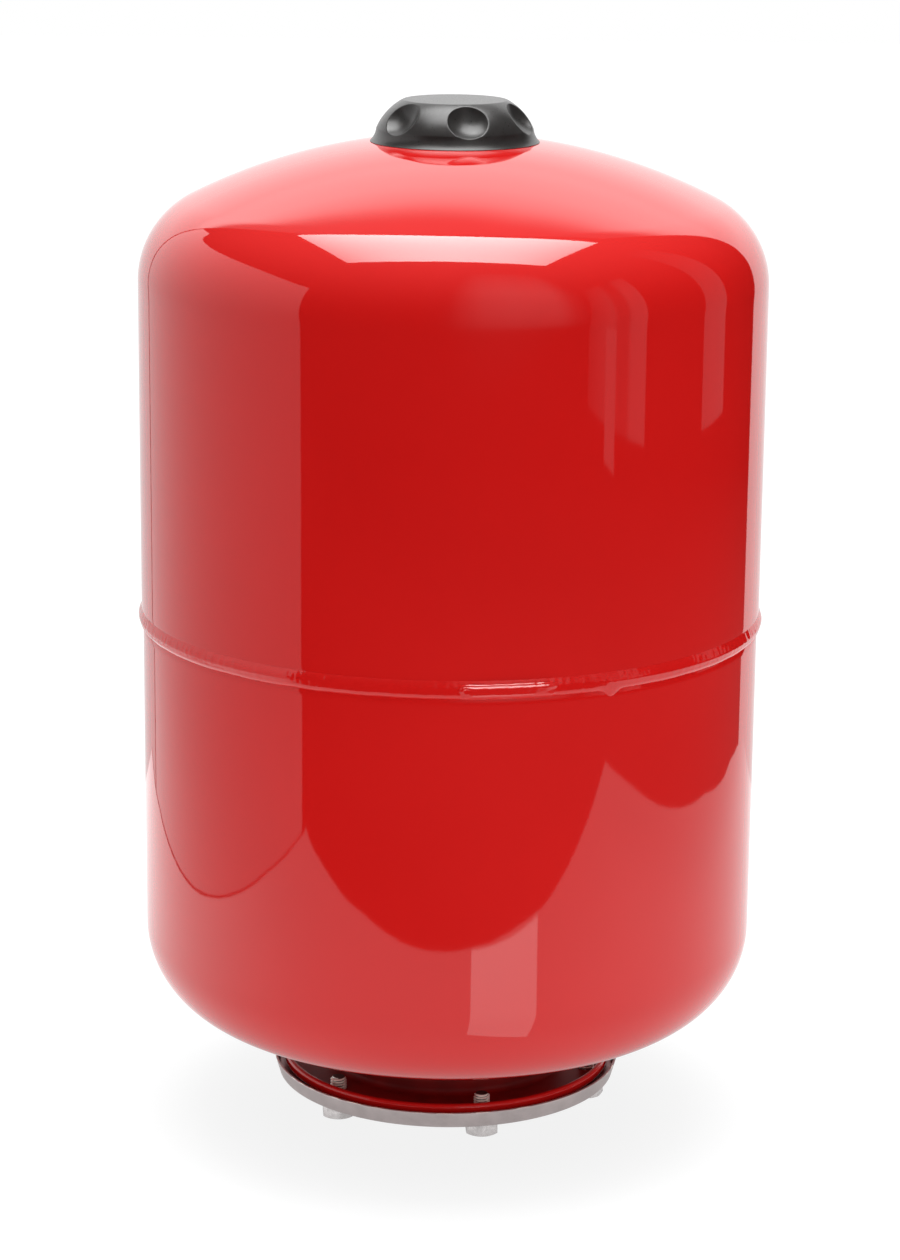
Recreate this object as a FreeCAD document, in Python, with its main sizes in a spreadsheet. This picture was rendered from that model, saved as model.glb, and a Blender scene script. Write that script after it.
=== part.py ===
"""A 24 litre expansion tank with a replaceable bladder, as it comes from the works.

Two deep-drawn steel shells lap at the girth and are welded round. A pressed flange ring is welded
into the lower dome. Six screws clamp the bladder's lip between that ring and a zinc-plated counter
flange, which carries the water connection. The air valve is welded into the upper dome, under a
screw-on cap with six finger dimples.

Lengths are millimetres. The origin is the centre of the water connection's lower end, +Z is up
along the tank's axis, and one of the six screws faces -Y.
"""

import FreeCAD
import Part
import Sketcher

import math
import os

# Driving sizes: name, value, what it measures
SIZES = (
    ("shell_radius", 140.0, "outside radius of the upper shell"),
    ("shell_wall", 1.2, "steel of both shells"),
    ("upper_straight", 153.6, "upper shell, from its rim to where the dome starts"),
    ("upper_knuckle", 40.4, "upper dome, outside radius of its shoulder"),
    ("upper_crown", 261.6, "upper dome, outside radius of its middle"),
    ("lower_straight", 142.8, "lower shell, from where its dome starts to the upper shell's rim"),
    ("lower_knuckle", 41.4, "lower dome, outside radius of its shoulder"),
    ("lower_crown", 416.0, "lower dome, outside radius of its middle"),
    ("lap_length", 10.0, "how far the lower shell reaches up inside the upper one"),
    ("lap_play", 0.1, "radial play between the shells in the lap"),
    ("joggle_rise", 0.6, "step from the lap out to the lower shell's own radius"),
    ("joggle_run", 1.0, "height over which the lower shell makes that step"),
    ("bead_below", 1.5, "girth weld, reach below the upper shell's rim"),
    ("bead_above", 5.5, "girth weld, reach above the upper shell's rim"),
    ("bead_proud", 1.2, "girth weld, height over the upper shell"),
    ("bevel_depth", 0.6, "depth of the bevel on the upper shell's rim for the weld"),
    ("bevel_cover", 0.25, "how far the bead's upper toe reaches past that bevel"),
    ("neck_radius", 54.5, "outside radius of the neck on the tank flange"),
    ("neck_rise", 14.3, "from the tank flange's floor to the lowest point of the dome's sphere"),
    ("neck_reach", 3.0, "how far the neck goes up past the dome's outer face"),
    ("neck_play", 0.1, "play round the neck in the lower shell's hole"),
    ("neck_bead", 3.5, "leg of the weld between neck and dome"),
    ("flange_wall", 2.5, "steel of the tank flange"),
    ("flange_radius", 75.8, "outside radius of the tank flange"),
    ("flange_rim", 3.2, "rim of the tank flange, height over its floor"),
    ("flange_bend", 0.5, "inside bend radius at the rim of the tank flange"),
    ("collar_bend", 3.0, "bend radius at the foot of the neck"),
    ("counter_wall", 2.5, "steel of the counter flange"),
    ("counter_radius", 79.25, "outside radius of the counter flange"),
    ("counter_rim", 7.3, "height of the counter flange over its underside"),
    ("counter_bend", 0.5, "inside bend radius at the rim of the counter flange"),
    ("counter_corner", 0.9, "outside rounding where the counter flange's rim meets its underside"),
    ("bolt_circle", 68.0, "radius of the circle that the screws stand on"),
    ("bolt_count", 6, "screws round the flange"),
    ("bolt_turn", 30.0, "angle of the first screw from +X, in degrees"),
    ("bolt_radius", 4.0, "thread radius of a screw"),
    ("bolt_length", 12.0, "length of a screw under its head"),
    ("bolt_chamfer", 0.8, "chamfer at a screw's end"),
    ("head_across", 14.0, "screw head across its flats"),
    ("head_height", 5.3, "height of a screw head"),
    ("head_slope", 1.1, "height of the bevel round a screw head's outer face"),
    ("bolt_play", 0.5, "radial play of a screw in the counter flange"),
    ("thread_play", 0.05, "radial play of a screw in the tank flange's thread"),
    ("nipple_length", 20.0, "water connection, length below the counter flange"),
    ("nipple_radius", 13.22, "water connection, outside radius of its pipe thread"),
    ("nipple_bore", 10.0, "water connection, radius of its bore"),
    ("nipple_chamfer", 1.2, "water connection, chamfer at its lower end"),
    ("nipple_bead", 3.0, "leg of the weld between water connection and counter flange"),
    ("run_out", 3.8, "water connection, length of the run-out behind its thread"),
    ("run_out_depth", 0.82, "water connection, depth of that run-out"),
    ("spigot_step", 0.4, "step from the run-out to the turned end in the flange's hole"),
    ("spigot_play", 0.1, "play round that turned end"),
    ("lip_wall", 1.5, "bladder lip as clamped"),
    ("lip_radius", 62.0, "outside radius of the bladder lip"),
    ("bag_wall", 2.0, "rubber of the bladder"),
    ("bag_play", 0.6, "play between bladder and steel neck"),
    ("bag_lift", 7.0, "from the lower shell's inside to the bladder's own lower dome"),
    ("bag_radius", 118.0, "outside radius of the bladder"),
    ("bag_air", 16.9, "gap between the bladder's top and the air valve's tail"),
    ("bag_low_knuckle", 45.0, "bladder, outside radius of its lower shoulder"),
    ("bag_low_crown", 250.0, "bladder, outside radius of its lower dome"),
    ("bag_top_knuckle", 60.0, "bladder, outside radius of its upper shoulder"),
    ("bag_top_crown", 140.0, "bladder, outside radius of its upper dome"),
    ("valve_spigot", 5.0, "air valve, radius where it passes the dome"),
    ("valve_play", 0.1, "play round the air valve in the dome's hole"),
    ("valve_tail", 6.5, "air valve, length inside the tank"),
    ("foot_radius", 9.0, "air valve, radius of its welded foot"),
    ("foot_height", 2.0, "air valve, height of its welded foot"),
    ("foot_bead", 1.5, "leg of the weld round the air valve's foot"),
    ("collar_radius", 6.0, "air valve, radius of the thread that the cap screws on to"),
    ("collar_height", 5.0, "air valve, height of that thread"),
    ("stem_radius", 3.85, "air valve, radius of the stem for the pump"),
    ("stem_height", 5.9, "air valve, height of that stem"),
    ("stem_chamfer", 0.4, "air valve, chamfer at the stem's end"),
    ("core_radius", 2.55, "valve core, radius of its threaded head"),
    ("core_head", 5.0, "valve core, length of its threaded head"),
    ("core_sink", 0.3, "valve core, depth of its head below the stem's end"),
    ("core_play", 0.05, "radial play of the core's fixed parts"),
    ("core_body", 1.8, "valve core, radius of its lower tube"),
    ("core_length", 11.7, "valve core, length of its tube over all"),
    ("core_bore", 1.25, "valve core, radius of the spring's chamber"),
    ("core_floor", 1.0, "valve core, thickness of the floor under the spring"),
    ("core_slot", 1.2, "valve core, width of the slot for its key"),
    ("core_slot_depth", 2.2, "valve core, depth of that slot"),
    ("gasket_radius", 2.25, "valve core, outside radius of its gasket"),
    ("gasket_height", 2.2, "valve core, height of its gasket"),
    ("pin_radius", 0.55, "valve pin, radius"),
    ("pin_sink", 0.2, "valve pin, depth of its end below the stem's end"),
    ("pin_play", 0.1, "radial play of the pin in the floor of the core"),
    ("pin_collar", 1.05, "valve pin, radius of the collar that the spring lifts"),
    ("pin_collar_depth", 3.2, "valve pin, from its end to that collar"),
    ("pin_collar_height", 0.8, "valve pin, height of that collar"),
    ("pin_foot", 1.4, "valve pin, radius of the foot under the rubber cup"),
    ("pin_foot_height", 0.6, "valve pin, height of that foot"),
    ("cup_radius", 1.65, "valve cup, outside radius"),
    ("cup_height", 1.1, "valve cup, height"),
    ("cup_gap", 0.05, "gap left between the cup and the core's lower end"),
    ("wire_radius", 0.15, "valve spring, radius of its wire"),
    ("coil_radius", 0.92, "valve spring, middle radius of its coils"),
    ("coil_count", 8, "valve spring, number of coils"),
    ("coil_gap", 0.05, "gap left between the spring and what it presses on"),
    ("cap_radius", 37.1, "outside radius of the protective cap's foot"),
    ("cap_height", 18.3, "height of the protective cap"),
    ("cap_foot", 0.9, "height of the plain edge round the cap's foot"),
    ("waist_radius", 34.7, "cap, radius where the flare of its foot ends"),
    ("waist_height", 5.1, "cap, height where the flare of its foot ends"),
    ("flare_round", 12.0, "cap, radius of that flare's curve"),
    ("shoulder_radius", 23.0, "cap, radius where its side ends"),
    ("shoulder_height", 17.2, "cap, height where its side ends"),
    ("side_round", 25.0, "cap, radius of the side's curve"),
    ("top_radius", 18.6, "cap, radius of its flat top"),
    ("top_round", 10.0, "cap, radius of the curve between side and top"),
    ("cap_wall", 2.0, "plastic of the cap"),
    ("cap_turn", 26.7, "angle of the cap's first dimple from +X, in degrees"),
    ("cap_gap", 0.3, "gap between the cap and what it sits on"),
    ("dimple_count", 6, "finger dimples round the cap"),
    ("dimple_radius", 13.9, "radius of the ball that a finger dimple is scooped with"),
    ("dimple_out", 38.3, "from the axis to the middle of that ball"),
    ("dimple_up", 17.5, "from the cap's foot to the middle of that ball"),
    ("dimple_edge", 0.45, "rounding of a dimple's edge"),
    ("rib_wall", 1.4, "thickness of the ribs inside the cap"),
    ("seal_height", 0.8, "height of the rubber disc inside the cap's socket"),
)

# Places worked out from the sizes, from the water connection upwards
PLACES = (
    ("counter_top", "dims.nipple_length + dims.counter_wall"),
    ("flange_under", "places.counter_top + dims.lip_wall"),
    ("flange_floor", "places.flange_under + dims.flange_wall"),
    ("lap_radius", "dims.shell_radius - dims.shell_wall - dims.lap_play"),
    ("lower_radius", "places.lap_radius + dims.joggle_rise"),
    ("lower_sin", "(places.lower_radius - dims.lower_knuckle) / (dims.lower_crown - dims.lower_knuckle)"),
    ("lower_cos", "sqrt(1 - places.lower_sin ^ 2)"),
    ("lower_middle", "places.flange_floor + dims.neck_rise + dims.lower_crown"),
    ("lower_start", "places.lower_middle - (dims.lower_crown - dims.lower_knuckle) * places.lower_cos"),
    ("upper_rim", "places.lower_start + dims.lower_straight"),
    ("upper_start", "places.upper_rim + dims.upper_straight"),
    ("bevel_radius", "dims.shell_radius - dims.bevel_depth"),
    ("bevel_top", "places.upper_rim + dims.bead_above - dims.bevel_cover"),
    ("upper_sin", "(dims.shell_radius - dims.upper_knuckle) / (dims.upper_crown - dims.upper_knuckle)"),
    ("upper_cos", "sqrt(1 - places.upper_sin ^ 2)"),
    ("upper_middle", "places.upper_start - (dims.upper_crown - dims.upper_knuckle) * places.upper_cos"),
    ("run_out_radius", "dims.nipple_radius - dims.run_out_depth"),
    ("spigot_radius", "places.run_out_radius - dims.spigot_step"),
    ("neck_hole", "dims.neck_radius + dims.neck_play"),
    ("neck_inside", "dims.neck_radius - dims.flange_wall"),
    ("neck_meet", "places.lower_middle - sqrt(dims.lower_crown ^ 2 - dims.neck_radius ^ 2)"),
    ("neck_top", "places.neck_meet + dims.neck_reach"),
    ("bag_neck", "places.neck_inside - dims.bag_play"),
    ("bag_low_sin", "(dims.bag_radius - dims.bag_low_knuckle) / (dims.bag_low_crown - dims.bag_low_knuckle)"),
    ("bag_low_cos", "sqrt(1 - places.bag_low_sin ^ 2)"),
    ("bag_low_middle", "places.lower_middle - dims.lower_crown + dims.shell_wall + dims.bag_lift"
                       " + dims.bag_low_crown"),
    ("bag_low_start", "places.bag_low_middle - (dims.bag_low_crown - dims.bag_low_knuckle)"
                      " * places.bag_low_cos"),
    ("bag_top_sin", "(dims.bag_radius - dims.bag_top_knuckle) / (dims.bag_top_crown - dims.bag_top_knuckle)"),
    ("bag_top_cos", "sqrt(1 - places.bag_top_sin ^ 2)"),
    ("valve_hole", "dims.valve_spigot + dims.valve_play"),
    ("valve_seat", "places.upper_middle + sqrt(dims.upper_crown ^ 2 - places.valve_hole ^ 2)"),
    ("valve_tail_end", "places.valve_seat - dims.valve_tail"),
    ("bag_top_middle", "places.valve_tail_end - dims.bag_air - dims.bag_top_crown"),
    ("bag_top_start", "places.bag_top_middle + (dims.bag_top_crown - dims.bag_top_knuckle)"
                      " * places.bag_top_cos"),
    ("foot_top", "places.valve_seat + dims.foot_height"),
    ("stem_foot", "places.foot_top + dims.collar_height"),
    ("stem_end", "places.stem_foot + dims.stem_height"),
    ("core_top", "places.stem_end - dims.core_sink"),
    ("core_step", "places.core_top - dims.core_head"),
    ("core_end", "places.core_top - dims.core_length"),
    ("core_seat", "places.core_step - dims.gasket_height"),
    ("valve_passage", "dims.gasket_radius + dims.core_play"),
    ("spring_floor", "places.core_end + dims.core_floor"),
    ("pin_top", "places.stem_end - dims.pin_sink"),
    ("collar_under", "places.pin_top - dims.pin_collar_depth - dims.pin_collar_height"),
    ("cup_top", "places.core_end - dims.cup_gap"),
    ("cup_under", "places.cup_top - dims.cup_height"),
    ("cap_base", "places.upper_middle + dims.cap_gap"
                 " + sqrt(dims.upper_crown ^ 2 - (dims.cap_radius - dims.cap_wall) ^ 2)"),
    ("cap_top", "places.cap_base + dims.cap_height"),
    ("cap_ceiling", "places.cap_top - dims.cap_wall"),
    ("socket_radius", "dims.collar_radius + dims.cap_gap"),
    ("socket_end", "places.foot_top + dims.cap_gap"),
)

doc = FreeCAD.newDocument("expansion_tank")
dims = doc.addObject("Spreadsheet::Sheet", "dims")
for row, (alias, value, meaning) in enumerate(SIZES, start=1):
    dims.set(f"A{row}", meaning)
    dims.set(f"B{row}", str(value))
    dims.setAlias(f"B{row}", alias)
doc.recompute()

places = doc.addObject("Spreadsheet::Sheet", "places")
for row, (alias, formula) in enumerate(PLACES, start=1):
    places.set(f"A{row}", alias)
    places.set(f"B{row}", "=" + formula.replace("places.", ""))
    places.setAlias(f"B{row}", alias)
doc.recompute()


def now(expression):
    """What an expression on the two sheets is worth at present."""
    return float(dims.evalExpression(expression))


def new_body(name):
    body = doc.addObject("PartDesign::Body", name)
    body.Label = name
    return body


def origin_part(body, role):
    """One of the body's own planes or axes, such as XZ_Plane or Z_Axis."""
    return next(part for part in body.Origin.OriginFeatures if part.Role == role)


def new_sketch(body, name, plane="XZ_Plane"):
    sketch = body.newObject("Sketcher::SketchObject", name)
    sketch.AttachmentSupport = [(origin_part(body, plane), "")]
    sketch.MapMode = "FlatFace"
    return sketch


def hold(sketch, kind, edge, end, expression):
    """Ties one end of an edge to its distance from the sketch's origin."""
    value = now(expression)
    if abs(value) < 1e-9:
        axis = -2 if kind == "DistanceX" else -1
        sketch.addConstraint(Sketcher.Constraint("PointOnObject", edge, end, axis))
        return
    index = sketch.addConstraint(Sketcher.Constraint(kind, -1, 1, edge, end, value))
    sketch.setExpression(f"Constraints[{index}]", expression)


def arc_between(start, finish, radius, side):
    """The short arc from start to finish with its middle on the given side of the way there."""
    chord = finish - start
    half = chord.Length / 2
    left = FreeCAD.Vector(-chord.y, chord.x, 0).normalize()
    reach = math.sqrt(max(radius ** 2 - half ** 2, 0))
    middle = (start + finish) * 0.5 + left * (reach if side == "left" else -reach)
    first, last = (start, finish) if side == "left" else (finish, start)
    angles = [math.atan2(point.y - middle.y, point.x - middle.x) for point in (first, last)]
    if angles[1] < angles[0]:
        angles[1] += 2 * math.pi
    circle = Part.Circle(middle, FreeCAD.Vector(0, 0, 1), radius)
    return Part.ArcOfCircle(circle, *angles)


def draw(sketch, corners):
    """A closed outline. A corner is (across, up), or (across, up, radius, side) where an arc leads to it."""
    points = [FreeCAD.Vector(now(corner[0]), now(corner[1]), 0) for corner in corners]
    edges = []
    for index, point in enumerate(points):
        following = (index + 1) % len(points)
        target = corners[following]
        if len(target) == 2:
            edge = sketch.addGeometry(Part.LineSegment(point, points[following]))
            ends = (1, 2)
        else:
            arc = arc_between(point, points[following], now(target[2]), target[3])
            edge = sketch.addGeometry(arc)
            ends = (1, 2) if target[3] == "left" else (2, 1)
            radius = sketch.addConstraint(Sketcher.Constraint("Radius", edge, now(target[2])))
            sketch.setExpression(f"Constraints[{radius}]", target[2])
        edges.append((edge, ends))
    for index, (edge, ends) in enumerate(edges):
        following, its_ends = edges[(index + 1) % len(edges)]
        sketch.addConstraint(Sketcher.Constraint("Coincident", edge, ends[1], following, its_ends[0]))
        hold(sketch, "DistanceX", edge, ends[0], corners[index][0])
        hold(sketch, "DistanceY", edge, ends[0], corners[index][1])


def turn(body, name, corners, kind="PartDesign::Revolution"):
    """A section turned round the body's own Z axis, added or, as a groove, taken away."""
    sketch = new_sketch(body, name + "_section")
    draw(sketch, corners)
    feature = body.newObject(kind, name)
    feature.Profile = sketch
    feature.ReferenceAxis = (sketch, ["V_Axis"])
    feature.Angle = 360
    body.Tip = feature
    return feature


def repeat(body, name, feature, count):
    """Copies a feature evenly round the body's own Z axis."""
    pattern = body.newObject("PartDesign::PolarPattern", name)
    pattern.Originals = [feature]
    pattern.Axis = (origin_part(body, "Z_Axis"), [""])
    pattern.Angle = 360
    pattern.setExpression("Occurrences", count)
    body.Tip = pattern
    return pattern


def turned_about_axis(body, angle):
    """Turns a finished body about Z by an angle from the sheet, in degrees."""
    body.Placement = FreeCAD.Placement(FreeCAD.Vector(), FreeCAD.Vector(0, 0, 1), now(angle))
    body.setExpression("Placement.Rotation.Angle", angle + " * 1deg")


def bolt_holes(body, radius):
    """A round hole at each screw, through whatever the body has there."""
    sketch = new_sketch(body, "hole_outline", "XY_Plane")
    hole = sketch.addGeometry(
        Part.Circle(FreeCAD.Vector(now("dims.bolt_circle"), 0, 0), FreeCAD.Vector(0, 0, 1), now(radius))
    )
    size = sketch.addConstraint(Sketcher.Constraint("Radius", hole, now(radius)))
    sketch.setExpression(f"Constraints[{size}]", radius)
    hold(sketch, "DistanceX", hole, 3, "dims.bolt_circle")
    sketch.addConstraint(Sketcher.Constraint("PointOnObject", hole, 3, -1))
    pocket = body.newObject("PartDesign::Pocket", "hole")
    pocket.Profile = sketch
    pocket.Type = "ThroughAll"
    pocket.Midplane = True
    repeat(body, "holes", pocket, "dims.bolt_count")


def dome(head, sign, depth, crown, knuckle):
    """Where a dome's sphere meets its shoulder, on the face that lies depth inside the outer one."""
    across = f"({crown} - {depth}) * places.{head}_sin"
    up = f"places.{head}_middle {sign} ({crown} - {depth}) * places.{head}_cos"
    return across, up, f"{crown} - {depth}", f"{knuckle} - {depth}"


def on_sphere(middle, sign, radius, across):
    """Height of a sphere's face at a distance from the axis."""
    return f"{middle} {sign} sqrt(({radius}) ^ 2 - ({across}) ^ 2)"


def upper_shell():
    """Deep-drawn dome and wall, bevelled at the rim where the girth weld covers it."""
    body = new_body("upper_shell")
    across, up, crown, knuckle = dome("upper", "+", "0", "dims.upper_crown", "dims.upper_knuckle")
    across_in, up_in, crown_in, knuckle_in = dome(
        "upper", "+", "dims.shell_wall", "dims.upper_crown", "dims.upper_knuckle"
    )
    inside = "dims.shell_radius - dims.shell_wall"
    turn(body, "drawn_shell", [
        ("places.valve_hole", on_sphere("places.upper_middle", "+", crown, "places.valve_hole")),
        (across, up, crown, "right"),
        ("dims.shell_radius", "places.upper_start", knuckle, "right"),
        ("dims.shell_radius", "places.bevel_top"),
        ("places.bevel_radius", "places.upper_rim"),
        (inside, "places.upper_rim"),
        (inside, "places.upper_start"),
        (across_in, up_in, knuckle_in, "left"),
        ("places.valve_hole", on_sphere("places.upper_middle", "+", crown_in, "places.valve_hole"),
         crown_in, "left"),
    ])
    return body


def lower_shell():
    body = new_body("lower_shell")
    across, up, crown, knuckle = dome("lower", "-", "0", "dims.lower_crown", "dims.lower_knuckle")
    across_in, up_in, crown_in, knuckle_in = dome(
        "lower", "-", "dims.shell_wall", "dims.lower_crown", "dims.lower_knuckle"
    )
    step = "places.upper_rim - dims.joggle_run"
    lap_top = "places.upper_rim + dims.lap_length"
    turn(body, "drawn_shell", [
        ("places.neck_hole", on_sphere("places.lower_middle", "-", crown, "places.neck_hole")),
        (across, up, crown, "left"),
        ("places.lower_radius", "places.lower_start", knuckle, "left"),
        ("places.lower_radius", step),
        ("places.lap_radius", "places.upper_rim"),
        ("places.lap_radius", lap_top),
        ("places.lap_radius - dims.shell_wall", lap_top),
        ("places.lap_radius - dims.shell_wall", "places.upper_rim"),
        ("places.lower_radius - dims.shell_wall", step),
        ("places.lower_radius - dims.shell_wall", "places.lower_start"),
        (across_in, up_in, knuckle_in, "right"),
        ("places.neck_hole", on_sphere("places.lower_middle", "-", crown_in, "places.neck_hole"),
         crown_in, "right"),
    ])
    return body


def girth_weld():
    """The bead that covers the upper shell's rim, with its crest a little above that rim."""
    body = new_body("girth_weld")
    toe = "places.upper_rim - dims.bead_below"
    crest = "places.upper_rim + dims.bead_below"
    turn(body, "bead", [
        ("places.lower_radius", toe),
        ("dims.shell_radius + dims.bead_proud", crest, "dims.bead_below + dims.bead_proud", "left"),
        ("dims.shell_radius", "places.upper_rim + dims.bead_above", "dims.bead_above * 2", "left"),
        ("dims.shell_radius", "places.bevel_top"),
        ("places.bevel_radius", "places.upper_rim"),
        ("places.lap_radius", "places.upper_rim"),
        ("places.lower_radius", "places.upper_rim - dims.joggle_run"),
    ])
    return body


def tank_flange():
    """Pressed ring: a neck drawn up in the middle, a floor with tapped holes and an upturned rim."""
    body = new_body("tank_flange")
    under, floor = "places.flange_under", "places.flange_floor"
    neck_bend = "dims.collar_bend + dims.flange_wall"
    rim_bend = "dims.flange_bend + dims.flange_wall"
    rim_inside = "dims.flange_radius - dims.flange_wall"
    rim_shoulder = f"{floor} + dims.flange_rim - dims.flange_wall / 2"
    turn(body, "pressed_ring", [
        ("places.neck_inside", "places.neck_top"),
        ("places.neck_inside", f"{under} + {neck_bend}"),
        (f"places.neck_inside + {neck_bend}", under, neck_bend, "left"),
        (f"dims.flange_radius - ({rim_bend})", under),
        ("dims.flange_radius", f"{under} + {rim_bend}", rim_bend, "left"),
        ("dims.flange_radius", rim_shoulder),
        (f"{rim_inside} + dims.flange_wall / 2", f"{floor} + dims.flange_rim", "dims.flange_wall / 2", "left"),
        (rim_inside, rim_shoulder, "dims.flange_wall / 2", "left"),
        (rim_inside, f"{floor} + dims.flange_bend"),
        (f"{rim_inside} - dims.flange_bend", floor, "dims.flange_bend", "right"),
        ("dims.neck_radius + dims.collar_bend", floor),
        ("dims.neck_radius", f"{floor} + dims.collar_bend", "dims.collar_bend", "right"),
        ("dims.neck_radius", "places.neck_top"),
    ])
    bolt_holes(body, "dims.bolt_radius + dims.thread_play")
    turned_about_axis(body, "dims.bolt_turn")
    return body


def neck_weld():
    body = new_body("neck_weld")
    toe = "dims.neck_radius + dims.neck_bead"
    turn(body, "bead", [
        ("dims.neck_radius", "places.neck_meet", "dims.lower_crown", "right"),
        ("dims.neck_radius", "places.neck_meet - dims.neck_bead"),
        (toe, on_sphere("places.lower_middle", "-", "dims.lower_crown", toe), "dims.neck_bead * 1.4", "right"),
    ])
    return body


def bladder():
    """Moulded rubber bag, open at the neck, with a flat lip that the two flanges clamp."""
    body = new_body("bladder")
    low = dome("bag_low", "-", "0", "dims.bag_low_crown", "dims.bag_low_knuckle")
    low_in = dome("bag_low", "-", "dims.bag_wall", "dims.bag_low_crown", "dims.bag_low_knuckle")
    top = dome("bag_top", "+", "0", "dims.bag_top_crown", "dims.bag_top_knuckle")
    top_in = dome("bag_top", "+", "dims.bag_wall", "dims.bag_top_crown", "dims.bag_top_knuckle")
    mouth = "places.bag_neck - dims.bag_wall"
    inside = "dims.bag_radius - dims.bag_wall"
    neck_bend = "dims.collar_bend + dims.flange_wall + dims.bag_play"
    turn(body, "moulded_bag", [
        (mouth, "places.counter_top"),
        ("dims.lip_radius", "places.counter_top"),
        ("dims.lip_radius", "places.flange_under"),
        (f"places.bag_neck + {neck_bend}", "places.flange_under"),
        ("places.bag_neck", f"places.flange_under + {neck_bend}", neck_bend, "right"),
        ("places.bag_neck", on_sphere("places.bag_low_middle", "-", low[2], "places.bag_neck")),
        (low[0], low[1], low[2], "left"),
        ("dims.bag_radius", "places.bag_low_start", low[3], "left"),
        ("dims.bag_radius", "places.bag_top_start"),
        (top[0], top[1], top[3], "left"),
        ("0", "places.bag_top_middle + dims.bag_top_crown", top[2], "left"),
        ("0", "places.bag_top_middle + dims.bag_top_crown - dims.bag_wall"),
        (top_in[0], top_in[1], top_in[2], "right"),
        (inside, "places.bag_top_start", top_in[3], "right"),
        (inside, "places.bag_low_start"),
        (low_in[0], low_in[1], low_in[3], "right"),
        (mouth, on_sphere("places.bag_low_middle", "-", low_in[2], mouth), low_in[2], "right"),
    ])
    return body


def counter_flange():
    """Pressed dish with a raised rim coined to a sharp corner, and holes for the connection and the screws."""
    body = new_body("counter_flange")
    hole = "places.spigot_radius + dims.spigot_play"
    corner = "dims.counter_corner"
    rim_inside = "dims.counter_radius - dims.counter_wall"
    rim_top = "dims.nipple_length + dims.counter_rim"
    turn(body, "pressed_dish", [
        (hole, "dims.nipple_length"),
        (f"dims.counter_radius - {corner}", "dims.nipple_length"),
        ("dims.counter_radius", f"dims.nipple_length + {corner}", corner, "left"),
        ("dims.counter_radius", rim_top),
        (rim_inside, rim_top),
        (rim_inside, "places.counter_top + dims.counter_bend"),
        (f"{rim_inside} - dims.counter_bend", "places.counter_top", "dims.counter_bend", "right"),
        (hole, "places.counter_top"),
    ])
    bolt_holes(body, "dims.bolt_radius + dims.bolt_play")
    turned_about_axis(body, "dims.bolt_turn")
    return body


def connection_nipple():
    """Turned pipe stub: a male thread with its run-out, and a thin spigot through the flange's hole."""
    body = new_body("connection_nipple")
    turn(body, "turned_stub", [
        ("dims.nipple_bore", "0"),
        ("dims.nipple_radius - dims.nipple_chamfer", "0"),
        ("dims.nipple_radius", "dims.nipple_chamfer"),
        ("dims.nipple_radius", "dims.nipple_length - dims.run_out"),
        ("places.run_out_radius", "dims.nipple_length - dims.run_out"),
        ("places.run_out_radius", "dims.nipple_length"),
        ("places.spigot_radius", "dims.nipple_length"),
        ("places.spigot_radius", "places.counter_top"),
        ("dims.nipple_bore", "places.counter_top"),
    ])
    return body


def nipple_weld():
    body = new_body("nipple_weld")
    turn(body, "bead", [
        ("places.run_out_radius", "dims.nipple_length"),
        ("places.run_out_radius", "dims.nipple_length - dims.nipple_bead"),
        ("places.run_out_radius + dims.nipple_bead", "dims.nipple_length",
         "dims.nipple_bead * 1.4", "right"),
    ])
    return body


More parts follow.
